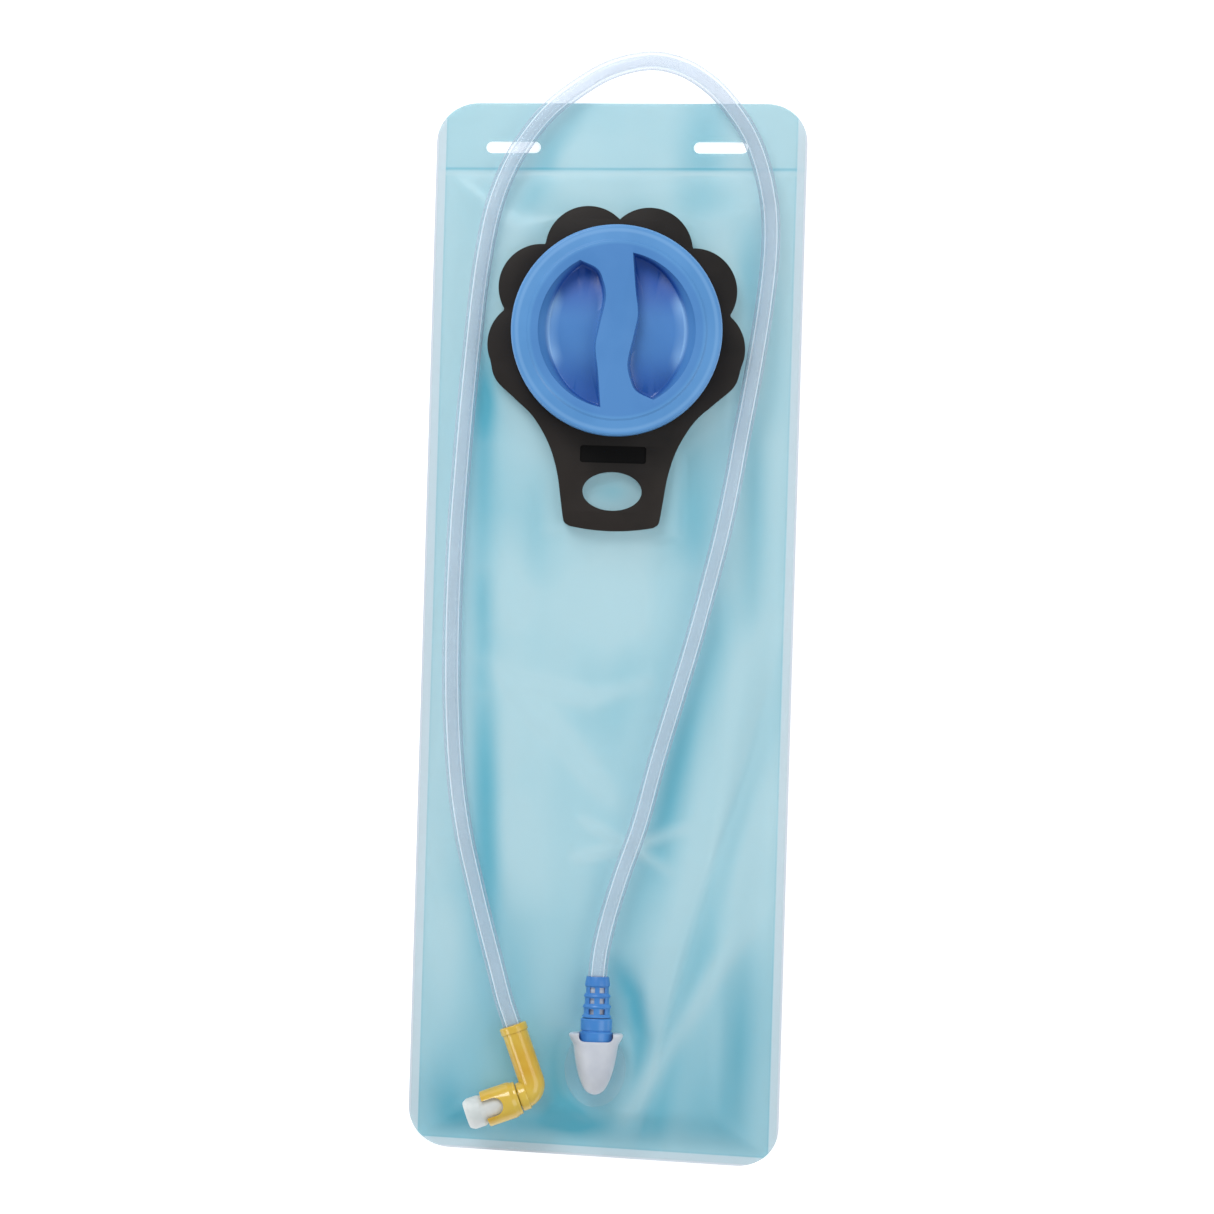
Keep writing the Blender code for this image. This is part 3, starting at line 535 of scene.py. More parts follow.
def make_hose():
    line = smooth_curve(HOSE_ROUTE, 8)
    shape = bmesh.new()
    sides = 40
    outer = ring_tube(shape, line, HOSE_RADIUS, sides)
    inner = ring_tube(shape, line, HOSE_BORE, sides, inwards=True)
    for end in (0, -1):
        skin(shape, (outer[end], inner[end]))
    bmesh.ops.recalc_face_normals(shape, faces=shape.faces)
    mesh = baked(scratch("drink_hose_tube", shape))
    # The bore glows with a painted highlight; the wall does not.
    wall = clear_tube_material("clear_tube_wall", (0.56, 0.64, 0.75), 0.16, 0.72, 0.0)
    bore = clear_tube_material("clear_tube_bore", (0.84, 0.90, 0.95), 0.26, 0.96, 0.50)
    hose = add_mesh("drink_hose_clear", mesh, wall, "bag", ["drink_hose"])
    mesh.materials.append(bore)
    # Each face lies beside the middle of a step of the line, and a bore face is the nearer one.
    centres = np.array([tuple((first + second) / 2) for first, second in zip(line, line[1:])])
    middles = np.array([tuple(face.center) for face in mesh.polygons])
    limit = (HOSE_RADIUS + HOSE_BORE) / 2
    for start in range(0, len(middles), 4000):
        block = middles[start:start + 4000]
        gap = np.linalg.norm(block[:, None] - centres[None], axis=2).min(axis=1)
        for offset in np.nonzero(gap < limit)[0]:
            mesh.polygons[start + int(offset)].material_index = 1
    places = np.array([tuple(vertex.co) for vertex in mesh.vertices])
    in_boot = (places[:, 1] < BOOT_HIGH.y - 0.001) & (places[:, 0] > -0.01)
    put_attribute(mesh, "covered", np.where(in_boot, 0.93, 0.0))
    return line


# ---------------------------------------------------------------- bag film

FILM_THICKNESS = 0.00045
WELD_BAND = 0.0042
SEAL_LINE = 0.029
WELD_HEIGHT = 0.0013
CROWN = FRONT_HIGH.z - 0.00015
SIDE_RAMP = 0.028
TOP_RAMP = 0.024
FOOT_RAMP = 0.018
CELL = 0.0016
CORNER = 0.0175
SLOT_CENTRES = (-0.0478, 0.0437)
SLOT_Y = HALF_LENGTH - 0.0195
SLOT_SIZE = (0.024, 0.005)

# The crease that runs from the right edge to the foot, in tenths of a millimetre. The crease and
# its left bank are sunk and painted with shade, its right bank is raised and painted with a
# highlight.
CREASE = metres((770, -70), (640, -560), (466, -1147), (320, -1700), (205, -2290))

# Soft folds of the front film, in tenths of a millimetre: a line, its half width, and how deep the
# film is there from 0 to 1.
# That depth sinks the film and darkens its colour as painted shade; a ridge has a negative depth,
# which raises the film and lightens its colour as a painted highlight. Each fades towards both its
# ends.
FOLDS = (
    (((-580, 1350), (-565, 700), (-555, 0)), 50, 0.42),
    (((-560, 250), (-548, -20), (-540, -300)), 45, 0.40),
    (((-550, -150), (-500, -750), (-475, -1500)), 60, 0.62),
    (((-560, 1300), (-560, 800)), 70, 0.38),
    (((-120, 2400), (-300, 2120), (-460, 1750)), 55, 0.40),
    (((372, 2420), (380, 2120), (400, 1800)), 100, 0.34), (((575, 1850), (585, 1250)), 70, 0.40),
    (((710, 1600), (705, 850)), 55, 0.42), (((-315, 750), (-325, 150)), 110, 0.30),
    (((376, 950), (360, 250)), 100, 0.36), (((615, 1150), (640, 450), (650, -200)), 55, 0.42),
    (((520, 200), (380, -400), (130, -1400)), 70, 0.45),
    (((40, -1430), (170, -1620), (205, -1790), (150, -2120)), 50, 0.62),
    (((-165, -1750), (-173, -1980), (-180, -2240)), 85, 0.50),
    (((-790, -1900), (-660, -2150), (-450, -2290)), 120, 0.50),
    (((-500, -2240), (-120, -2190), (250, -2230)), 80, 0.50),
    (((720, -1350), (670, -1850), (560, -2300)), 120, 0.40),
    (((300, 300), (100, -200), (-50, -500)), 110, 0.16),
    (((-560, -120), (-200, -480), (100, -820)), 50, -0.34),
    (((-430, -230), (-60, -310), (240, -210)), 45, -0.26),
    (((-150, -1020), (120, -960), (420, -850)), 28, -0.45),
    (((-120, -830), (110, -950), (330, -1080)), 26, -0.40),
    (((-200, 250), (80, 50), (300, -50)), 180, -0.22),
    (((800, -1080), (500, -1530), (260, -1950), (60, -2280)), 50, -0.45),
    (((-695, -1180), (-690, -1500), (-660, -1850)), 95, -0.30),
    (((760, -400), (660, -950), (540, -1400)), 90, -0.26),
    (((-300, 2000), (250, 2020)), 120, -0.20), (((480, 1900), (460, 1000)), 90, -0.16),
    (((-480, 2000), (-500, 1200)), 80, -0.18), (((-450, 500), (-420, -50)), 110, -0.18),
    (((-400, -700), (-300, -1300)), 120, -0.16),
)


def step_up(value, low, high):
    t = np.clip((value - low) / (high - low), 0.0, 1.0)
    return t * t * (3 - 2 * t)


def step_down(value, low, high):
    return 1 - step_up(value, low, high)


def bell(value, middle, width):
    return np.exp(-((value - middle) / width) ** 2)


def side_of(points, line):
    """For each point, its distance from a polyline, the side it is on (positive to the right) and
    how far along it lies, from 0 to 1."""
    best = np.full(len(points), 1e9)
    side = np.zeros(len(points))
    along = np.zeros(len(points))
    line = np.array(line, float)
    for index in range(len(line) - 1):
        start, stop = line[index, :2], line[index + 1, :2]
        way = stop - start
        length = np.hypot(*way)
        offset = points - start
        share = np.clip((offset @ way) / length ** 2, 0.0, 1.0)
        nearest = start + share[:, None] * way
        distance = np.hypot(*(points - nearest).T)
        cross = (way[0] * offset[:, 1] - way[1] * offset[:, 0]) / length
        closer = distance < best
        best[closer] = distance[closer]
        side[closer] = -np.sign(cross[closer])
        along[closer] = (index + share[closer]) / (len(line) - 1)
    return best, side, along


def noise_field(points, scale_x, scale_y, seed):
    """Smooth noise from about -1 to 1, stretched along each axis."""
    return np.array([noise.noise(Vector((x / scale_x, y / scale_y, seed))) for x, y in points])


def weld_distance(points):
    """How far each point is inside the weld, in shares of the ramps: 0 there, 1 on the crown."""
    x, y = points.T
    side = (HALF_WIDTH - WELD_BAND - np.abs(x)) / SIDE_RAMP
    top = (HALF_LENGTH - SEAL_LINE - y) / TOP_RAMP
    foot = (y + HALF_LENGTH - WELD_BAND) / FOOT_RAMP
    near = np.clip(np.stack([side, top, foot]), 0.0001, 1.6)
    return np.clip(np.sum(near ** -5.0, axis=0) ** (-1 / 5.0), 0.0, 1.3)


def hard_zone(points):
    """1 where a rigid piece lies on the film, falling to 0 around it."""
    x, y = points.T
    reach = np.hypot(x - FILLER.x, y - FILLER.y)
    under_collar = step_down(reach, 0.056, 0.066)
    handle = (step_down(np.abs(x), 0.026, 0.034) * step_up(y, COLLAR_LOW.y - 0.006, COLLAR_LOW.y)
              * step_down(y, FILLER.y, FILLER.y + 0.01))
    port = step_down(np.hypot(x / 0.8, y - PORT_FOOT_Y), 0.018, 0.025)
    return np.maximum.reduce([under_collar, handle, port])


def front_film_height(flat, points, hose_line):
    """Height of the front film's top and the depth of its colour, at each place of its flat cut.
    The depth holds painted shade in folds, in the crease, beside the hose and under the finger
    hole, and painted highlights on ridges and on the crease's right bank.
    """
    x, y = points.T
    inside = weld_distance(flat)
    rise = step_up(inside, 0.0, 1.0)
    hard = hard_zone(points)
    soft = (1 - hard) * np.clip(inside * 1.6, 0, 1)
    height = WELD_HEIGHT + (CROWN - WELD_HEIGHT) * rise

    broad = noise_field(points, 0.030, 0.085, 1.7)
    streak = noise_field(points, 0.012, 0.060, 5.2)
    fine = noise_field(points, 0.006, 0.014, 9.1)
    pucker = noise_field(points, 0.050, 0.0240, 7.7) * bell(inside, 0.35, 0.25)
    height -= soft * (0.0009 + 0.0009 * broad + 0.0004 * streak + 0.00008 * fine)
    height += (1 - hard) * 0.00035 * pucker * np.clip(inside * 4, 0, 1)

    away, side, _ = side_of(points, CREASE)
    signed = away * side
    sharp = bell(away, 0.0, 0.0020)
    dark_bank = bell(signed, -0.0055, 0.0055)
    light_bank = bell(signed, 0.0085, 0.0080)
    height += soft * (0.0013 * light_bank - 0.0008 * dark_bank - 0.0009 * sharp)
    folds = np.zeros(len(points))
    wander = 1 + 0.30 * streak + 0.25 * broad
    for line, width, amount in FOLDS:
        gap, _, share = side_of(points, metres(*line))
        spread = width / TENTHS * wander
        folds += amount * wander * bell(gap, 0.0, spread) * np.sin(pi * share) ** 0.8
    height -= soft * 0.0022 * folds

    over = np.maximum(height - CROWN, 0.0)
    height += 0.0010 * (1 - np.exp(-over / 0.0010)) - over
    ceiling, near_hose = hose_ceiling(points, hose_line)
    height = np.minimum(height, ceiling)
    height = np.maximum(height, WELD_HEIGHT + 0.0001 * inside)

    foot = step_down(y, -0.220, -0.08)
    # Painted shade in the troughs either side of the hose.
    hose_trough_shade = bell(near_hose, 0.0085, 0.0045)
    depth = 0.12 + 0.12 * broad + 0.09 * streak + 0.09 * hose_trough_shade * np.clip(inside, 0, 1)
    depth += 0.27 * foot + 0.12 * foot * step_down(x, -0.04, 0.04)
    depth += 0.14 * step_down(y, -0.222, -0.195)
    # Painted shade in the folds, a painted highlight on the ridges.
    depth += 1.12 * folds * np.clip(1.1 - 0.5 * hard, 0, 1)
    # Painted shade in the crease and on its left bank, a painted highlight on its right bank.
    depth += 0.30 * dark_bank + 0.10 * sharp - 0.22 * light_bank
    depth *= 0.35 + 0.65 * step_up(inside, 0.0, 0.7)
    # Painted shade on the film under the handle's finger hole.
    finger = FILLER.y - FINGER_DROP
    depth += 0.40 * np.exp(-(x / 0.0085) ** 2 - ((y - finger) / 0.0055) ** 2)
    hem = HALF_LENGTH - SEAL_LINE - flat[:, 1]
    depth = np.where(hem < 0.0, 0.06 + 0.10 * broad + folds, depth)
    return height, np.clip(depth, 0.0, 1.0)


def hose_ceiling(points, hose_line):
    """The highest that the film may be under the hose, and each point's distance from the hose."""
    line = np.array([tuple(first.lerp(second, step / 5))
                     for first, second in zip(hose_line, hose_line[1:]) for step in range(5)])
    ceiling = np.full(len(points), 1.0)
    nearest = np.full(len(points), 1.0)
    reach = HOSE_RADIUS + 0.00035
    for start in range(0, len(points), 4000):
        block = points[start:start + 4000]
        gap = np.hypot(block[:, None, 0] - line[None, :, 0], block[:, None, 1] - line[None, :, 1])
        index = gap.argmin(axis=1)
        distance = gap[np.arange(len(block)), index]
        bent = np.minimum(distance, 0.8 * reach)
        under = line[index, 2] - np.sqrt(reach ** 2 - bent ** 2)
        under += np.maximum(distance - 0.8 * reach, 0.0) * 1.3
        ceiling[start:start + 4000] = np.where(distance < 2.5 * reach, under, 1.0)
        nearest[start:start + 4000] = distance
    return ceiling, nearest


def bag_outline():
    """The bag's outline with round corners, anticlockwise, its long sides cut into short steps."""
    found = list(map(Vector, rounded_box(2 * HALF_WIDTH, 2 * HALF_LENGTH, CORNER, steps=14)))
    dense = []
    for first, second in zip(found, found[1:] + found[:1]):
        parts = max(1, int((second - first).length / (2 * CELL)))
        dense += [first.lerp(second, step / parts) for step in range(parts)]
    return dense


def slot_outline(centre_x):
    length, width = SLOT_SIZE
    ends = [(centre_x + sx * (length - width) / 2, SLOT_Y, start)
            for sx, start in ((1, -90), (-1, 90))]
    return list(map(Vector, arcs(ends, width / 2, 180, 8)))


def inside_outline(points, outline):
    """True for each point inside a closed outline."""
    x, y = points.T
    found = np.zeros(len(points), bool)
    for first, second in zip(outline, outline[1:] + outline[:1]):
        crosses = (first.y > y) != (second.y > y)
        with np.errstate(divide="ignore", invalid="ignore"):
            at = (second.x - first.x) * (y - first.y) / (second.y - first.y) + first.x
        found ^= crosses & (x < at)
    return found


def on_film(points, outer, holes):
    """True for each point inside the outline and outside its holes."""
    found = inside_outline(points, outer)
    for hole in holes:
        found &= ~inside_outline(points, hole)
    return found


def film_triangles(outer, holes, cell):
    """An even triangle mesh of the film's flat cut: its points and its triangles."""
    loops = [outer, *holes]
    points = []
    edges = []
    for loop in loops:
        start = len(points)
        points += loop
        edges += [(start + index, start + (index + 1) % len(loop)) for index in range(len(loop))]
    row_step = cell * 0.866
    grid = np.array([(-HALF_WIDTH + (cell / 2 if row % 2 else 0.0) + column * cell,
                      -HALF_LENGTH + row * cell * 0.866)
                     for row in range(int(2 * HALF_LENGTH / row_step) + 1)
                     for column in range(int(2 * HALF_WIDTH / cell) + 1)])
    keep = on_film(grid, outer, holes)
    for loop in loops:
        keep &= side_of(grid, [tuple(point) for point in loop + loop[:1]])[0] > 0.55 * cell
    points += [Vector(point) for point in grid[keep]]
    result = geometry.delaunay_2d_cdt(points, edges, [], 0, 0.0000001)
    flat = np.array([tuple(point) for point in result[0]])
    triangles = np.array([face for face in result[2] if len(face) == 3])
    return flat, triangles[on_film(flat[triangles].mean(axis=1), outer, holes)]


def settled(points):
    """Where the flat cut lies: its hem and foot run a little aslant, its sides spread a little."""
    x, y = points.T
    wide = x + 0.0013 * np.sign(x) * step_up(np.abs(x), 0.055, HALF_WIDTH)
    head = step_up(y, 0.150, 0.200)
    foot = step_down(y, -0.225, -0.10)
    tall = y + head * (0.0009 + 0.0265 * x) - foot * (0.0023 + 0.0366 * x)
    return np.stack([wide, tall], axis=1)


def film_mesh(name, flat, triangles, placed, top, depth):
    """A thin closed sheet. Its attributes are its colour depth, which holds painted shade and
    painted highlights, and how many millimetres each point is from the nearest welded edge and
    below the seal line of the hem."""
    count = len(placed)
    upper = np.column_stack([placed, top])
    lower = np.column_stack([placed, top - FILM_THICKNESS])
    edges = {}
    for a, b, c in triangles.tolist():
        for first, second in ((a, b), (b, c), (c, a)):
            if (second, first) in edges:
                del edges[(second, first)]
            else:
                edges[(first, second)] = True
    walls = [(second, first, first + count, second + count) for first, second in edges]
    faces = triangles.tolist() + (count + triangles[:, ::-1]).tolist() + walls
    mesh = bpy.data.meshes.new(name)
    mesh.from_pydata(np.vstack([upper, lower]).tolist(), [], faces)
    edge = np.minimum(HALF_WIDTH - np.abs(flat[:, 0]), HALF_LENGTH + flat[:, 1])
    seal = HALF_LENGTH - SEAL_LINE - flat[:, 1]
    for label, values in (("depth", depth), ("edge", 1000 * edge), ("seal", 1000 * seal)):
        put_attribute(mesh, label, np.concatenate([values, values]))
    mesh.shade_smooth()
    mesh.set_sharp_from_angle(angle=radians(50))
    mesh.validate()
    return mesh


def film_material(name, opacity):
    """Tinted translucent film, deeper where the mesh says so, which holds painted shade, with milky
    weld bands and a painted highlight below the hem's seal line.
    """
    shader = Shader(name)
    depth = shader.attribute("depth")
    edge = shader.attribute("edge")
    seal = shader.attribute("seal")
    band = shader.spread(edge, 3.9, 4.5, 1.0, 0.0)
    rim = shader.spread(edge, 0.5, 1.1, 1.0, 0.0)
    line = shader.stripe(edge, 3.6, 4.2, 4.5, 5.2)
    press = shader.stripe(seal, -0.9, -0.2, 0.2, 0.9)
    # Painted highlight on the film just below the hem's seal line.
    painted_highlight = shader.stripe(seal, 1.0, 1.8, 2.2, 3.4)
    patches = shader.noise(20.0, detail=2.0, stretch=(1.0, 0.4, 1.0))
    deep = shader.maths("ADD", depth, shader.spread(patches, 0.3, 0.7, -0.04, 0.04))
    deep = shader.plus(deep, (press, 0.38), (line, 0.12), (painted_highlight, -0.22))
    body = shader.mixed(deep, (0.60, 0.80, 0.85), (0.12, 0.50, 0.63))
    colour = shader.mixed(band, body, (0.80, 0.88, 0.93))
    colour = shader.mixed(rim, colour, (0.84, 0.88, 0.95))
    tint = shader.mixed(deep, (0.93, 0.965, 0.975), (0.70, 0.91, 0.955))
    shader.set(Base_Color=colour, Roughness=0.31, IOR=1.45, Coat_Weight=0.08, Coat_Roughness=0.2)
    shader.bump(shader.noise(110.0, detail=2.0, stretch=(1.0, 0.6, 1.0)), 0.05, 0.0004)
    see_through(shader, tint, shader.plus(opacity, (band, 0.12), (rim, 0.25), (depth, 0.15)))
    return shader.material


def add_film(name, opacity, cut, placed, top, depth):
    mesh = film_mesh(f"{name}_sheet", *cut, placed, top, depth)
    sheet = add_mesh(f"{name}_sheet", mesh, film_material(name, opacity), "bag", [name])


def make_films(hose_line):
    outer = bag_outline()
    slots = [slot_outline(centre) for centre in SLOT_CENTRES]
    neck_hole = list(map(Vector, ellipse(NECK_HOLE, NECK_HOLE, (FILLER.x, FILLER.y), 120)))
    port_hole = list(map(Vector, ellipse(0.0092, 0.0092, (0.0, PORT_HOLE_Y), 24)))
    front_cell = CELL
    cut = film_triangles(outer, [*slots, neck_hole, port_hole], front_cell)
    placed = settled(cut[0])
    top, depth = front_film_height(cut[0], placed, hose_line)
    add_film("front_film", 0.34, cut, placed, top, depth)
    cut = film_triangles(outer, slots, 2.5 * CELL)
    placed = settled(cut[0])
    ripple = 0.00012 * (1 + noise_field(cut[0], 0.02, 0.05, 4.0))
    top = BACK_HIGH.z - 0.00025 + ripple * np.clip(weld_distance(cut[0]), 0, 1)
    depth = 0.15 + 0.35 * step_down(placed[:, 1], -0.215, -0.10)
    add_film("back_film", 0.25, cut, placed, top, depth)


# ---------------------------------------------------------------- filler: collar and lid

# The collar's flower and the right sides of its handle and of the lid's bar, about the filler's
# axis. The sides are in tenths of a millimetre.
LOBE_ANGLES = (20.5, 61.0, 100.0)
LOBE_RADIUS = 0.019
FLOWER_RADIUS = 0.0572
FLOWER_END = 104.0
HANDLE_SIDE = metres(
    (525, -225), (440, -305), (355, -385), (285, -500), (245, -620), (224, -750), (214, -815),
    (206, -843), (185, -858),
)
HANDLE_END = -0.0877
PANEL_SIZE = (0.029, 0.0075)
PANEL_DROP = 0.054
BAR_SIDE = metres(
    (61, 340), (76, 185), (90, 77), (76, -12), (51, -139), (66, -218), (95, -267), (169, -301),
)
POCKET_RADIUS = 0.0345

# Levels of a lid recess: the share of the depth, then how the outline is narrowed, moved off the
# bar and shortened there.
POCKET_WALL = (
    (-0.10, 1.006, -0.0001, 1.003), (0.0, 1.0, 0.0, 1.0), (0.07, 0.985, 0.0002, 0.997),
    (0.22, 0.935, 0.0008, 0.990), (0.40, 0.880, 0.0014, 0.984), (0.50, 0.855, 0.0017, 0.980),
    (0.66, 0.838, 0.0019, 0.975), (0.88, 0.820, 0.0021, 0.968), (0.98, 0.800, 0.0023, 0.958),
    (1.0, 0.765, 0.0028, 0.930), (1.0, 0.550, 0.0062, 0.700), (1.0, 0.320, 0.0100, 0.420),
)


def flower_radius(angle):
    """Distance from the filler axis to the flower's edge, as lobes of one radius."""
    centre = FLOWER_RADIUS - LOBE_RADIUS
    best = 0.0
    for lobe in LOBE_ANGLES:
        away = radians(angle - lobe)
        inside = LOBE_RADIUS ** 2 - (centre * sin(away)) ** 2
        if inside > 0:
            best = max(best, centre * cos(away) + sqrt(inside))
    return best


def collar_outline():
    """Half of the outline from the top notch to the handle's end, and its mirror image."""
    flower_steps = 104
    end_steps = 10
    half = []
    for step in range(flower_steps + 1):
        angle = radians(FLOWER_END * step / flower_steps)
        reach = flower_radius(degrees(angle))
        half.append(Vector((reach * sin(angle), reach * cos(angle))))
    half += smooth_curve([half[-1], *HANDLE_SIDE], 5)[1:]
    end_x, end_y = HANDLE_SIDE[-1]
    for step in range(1, end_steps):
        x = end_x * (1 - step / end_steps)
        half.append(Vector((x, HANDLE_END + (end_y - HANDLE_END) * (x / end_x) ** 2)))
    half[0].x = 0.0
    mirrored = [Vector((-point.x, point.y)) for point in reversed(half[1:])]
    return half + [Vector((0.0, HANDLE_END))] + mirrored


def make_collar():
    centre = Matrix.Translation((FILLER.x, FILLER.y, 0.0))
    outlines = [collar_outline(), ellipse(NECK_HOLE, NECK_HOLE, steps=128),
                ellipse(*FINGER_HOLE, (0.0, -FINGER_DROP), 72)]
    collar = prism("collar", outlines, COLLAR_LOW.z, COLLAR_HIGH.z, centre)
    bevel(collar, 0.0013, 4, 50)
    panel = prism("panel", [rounded_box(*PANEL_SIZE, 0.0012, (0.0, -PANEL_DROP))],
                  COLLAR_HIGH.z - 0.0007, COLLAR_HIGH.z + 0.002, centre)
    boolean(collar, panel)
    mesh = baked(collar, panel)
    black = moulded("black_plastic", (0.017, 0.013, 0.011), (0.009, 0.007, 0.006), 0.42,
                    grain=1500.0, grain_strength=0.12, gloss=0.30)
    panel_black = moulded("black_plastic_panel", (0.005, 0.004, 0.004), (0.003, 0.003, 0.003), 0.65,
                          grain=2500.0, grain_strength=0.2, gloss=0.12)
    add_mesh("grip_collar_moulded", mesh, black, "bag", ["grip_collar"])
    mesh.materials.append(panel_black)
    for face in mesh.polygons:
        middle = face.center
        in_panel = abs(middle.x) < 0.0146 and abs(middle.y - FILLER.y + PANEL_DROP) < 0.0039
        if in_panel and -0.0009 < middle.z - COLLAR_HIGH.z < -0.0003:
            face.material_index = 1


def pocket_outline(wide, shift, tall):
    """Outline of a lid recess: an arc with the bar's wavy side, narrowed and moved off the bar."""
    outline = list(smooth_curve(BAR_SIDE, 7))
    start = atan2(*BAR_SIDE[-1])
    stop = atan2(*BAR_SIDE[0])
    arc_steps = 60
    for step in range(1, arc_steps):
        angle = start + (stop - start) * step / arc_steps
        outline.append(Vector((POCKET_RADIUS * sin(angle), POCKET_RADIUS * cos(angle))))
    return [Vector((point.x * wide + shift, point.y * tall)) for point in outline]


def pocket_tool(name, matrix, top):
    """The recess as a solid: a sloped outer wall, a steep bar side, a floor deepest at its ends."""
    shape = bmesh.new()
    rings = []
    for share, wide, shift, tall in POCKET_WALL:
        ring = []
        for point in pocket_outline(wide, shift, tall):
            depth = 0.0115 - 0.0040 * max(0.0, 1 - (point.y / 0.026) ** 2)
            ring.append(shape.verts.new((point.x, point.y, top - share * depth)))
        rings.append(ring)
    skin(shape, rings)
    shape.faces.new(rings[0])
    bmesh.ops.triangulate(shape, faces=[shape.faces.new(rings[-1])])
    bmesh.ops.recalc_face_normals(shape, faces=shape.faces)
    return scratch(name, shape, matrix)


def recess_shade(mesh, top):
    """The lid's attributes: painted shade, which grows with a point's depth in a recess and is
    strongest at its ends, and a painted highlight, a crescent on each recess's outer wall.
    """
    x, y, z = np.array([tuple(vertex.co) for vertex in mesh.vertices]).T
    reach = np.hypot(x - FILLER.x, y - FILLER.y)
    inside = (reach < POCKET_RADIUS + 0.0004) & (z > top - 0.013)
    # Painted shade: deeper in a recess and towards its ends, more at its top end.
    depth = step_up((top - z) / 0.0085, 0.12, 1.0)
    away = np.abs(y - FILLER.y)
    ends = 0.16 + 0.84 * np.where(y > FILLER.y, step_up(away, 0.004, 0.021),
                                  0.74 * step_up(away, 0.005, 0.030))
    painted_shade = np.where(inside, depth * ends, 0.0)
    # Painted highlight: a crescent at the foot of each recess's sloped outer wall.
    painted_highlight = bell(reach, 0.0302, 0.0009) * step_down(away, 0.009, 0.019)
    painted_highlight = np.where(inside & (z < top - 0.001), painted_highlight, 0.0)
    put_attribute(mesh, "painted_shade", painted_shade)
    put_attribute(mesh, "painted_highlight", painted_highlight)


def make_lid():
    """A skirted blue disc with a cup, two recesses and the S-shaped bar that they leave."""
    centre = Matrix.Translation((FILLER.x, FILLER.y, 0.0))
    top = LID_HIGH.z
    radius = (LID_HIGH.x - LID_LOW.x) / 2
    foot = LID_LOW.z
    profile = (
        (0.0, top, 0), (0.0388, top, 0.0004), (0.0397, top - 0.0006, 0.0004),
        (radius - 0.0008, top - 0.0009, 0.0010), (radius, top - 0.0020, 0.0008),
        (radius, foot, 0.0005), (0.0430, foot, 0.0004), (0.0430, 0.0350, 0.0005),
        (0.0369, 0.0350, 0.0006), (0.0364, 0.0252, 0.0010), (0.0346, foot + 0.0022, 0.0008),
        (0.0, foot + 0.0022, 0),
    )
    lid = lathe("lid", profile, centre, 144)
    tools = [pocket_tool(f"pocket_{side}", centre @ Matrix.Rotation(turn, 4, "Z"), top)
             for side, turn in (("right", 0.0), ("left", pi))]
    boolean(lid, *tools)
    bevel(lid, 0.0006, 3, 32)
    mesh = baked(lid, *tools, sharp=30)
    recess_shade(mesh, top)
    # The deep colour is the colour of the lid's painted shade.
    blue = moulded("blue_plastic", (0.105, 0.310, 0.650), (0.090, 0.280, 0.605), 0.36, coat=0.06,
                   gloss=0.4, deep=(0.016, 0.100, 0.430))
    add_mesh("screw_lid_moulded", mesh, blue, "lid", ["screw_lid"])


def give_finish(node, finish):
    if not node.material_slots:
        node.data.materials.append(finish)
    for slot in node.material_slots:
        slot.material = finish


# ---------------------------------------------------------------- outlet

PORT_FRAME = axis_matrix(PORT_AXIS, (0.0, 1.0, 0.0))

# Stations of the port's hood, in tenths of a millimetre: distance from its mouth, half its width,
# and half its height.
HOOD = metres(
    (0, 112, 90), (9, 119, 97), (30, 110, 97), (52, 99, 96), (90, 93, 93), (140, 84, 86),
    (190, 71, 74), (225, 57, 60), (250, 42, 45), (264, 25, 28), (270, 8, 10),
)


def make_port(finish, thin_finish):
    """A frosted hood with two ears beside its mouth, on a thin flange welded to the film."""
    ground = COLLAR_LOW.z
    shape = bmesh.new()
    rings = []
    steps = 72
    for station in smooth_curve(HOOD, 4):
        away, half, tall = station
        rings.append([shape.verts.new((PORT_AXIS.x + half * cos(angle), PORT_AXIS.y - away,
                                       PORT_AXIS.z + tall * sin(angle)))
                      for angle in (2 * pi * step / steps for step in range(steps))])
    skin(shape, rings)
    hood = capped("hood", shape, rings)
    under = prism("under", [rounded_box(0.06, 0.06, 0.001, (0.0, PORT_AXIS.y - 0.015))],
                  ground - 0.02, ground + 0.0005)
    spigot = lathe("spigot", [(0.0, ground + 0.003), (0.0042, ground + 0.003), (0.0042, PORT_LOW.z),
                              (0.0, PORT_LOW.z)], Matrix.Translation((0.0, PORT_HOLE_Y, 0.0)), 32)
    bore = lathe("bore", [(0.0, 0.02), (0.0076, 0.02), (0.0076, -0.005), (0.0044, -0.005),
                          (0.0044, -0.0225), (0.0, -0.0225)], PORT_FRAME, 48)
    notch = prism("notch", [rounded_box(0.0150, 0.0100, 0.0022, (0.0, PORT_AXIS.y + 0.0014))],
                  PORT_AXIS.z + 0.0005, PORT_HIGH.z + 0.002)
    boolean(hood, under)
    boolean(hood, spigot, operation="UNION")
    boolean(hood, bore, notch)
    bevel(hood, 0.0004, 2, 40)
    mesh = baked(hood, under, spigot, bore, notch)
    add_mesh("outlet_port_frosted", mesh, finish, "bag", ["outlet_port"])
    outlines = [ellipse(0.027, 0.034, (0.0, PORT_FOOT_Y), 72),
                ellipse(0.0096, 0.0096, (0.0, PORT_HOLE_Y), 32)]
    flange = prism("flange", outlines, ground, ground + 0.0009)
    bevel(flange, 0.0003, 2, 40)
    add_mesh("outlet_port_flange", baked(flange), thin_finish, "bag")


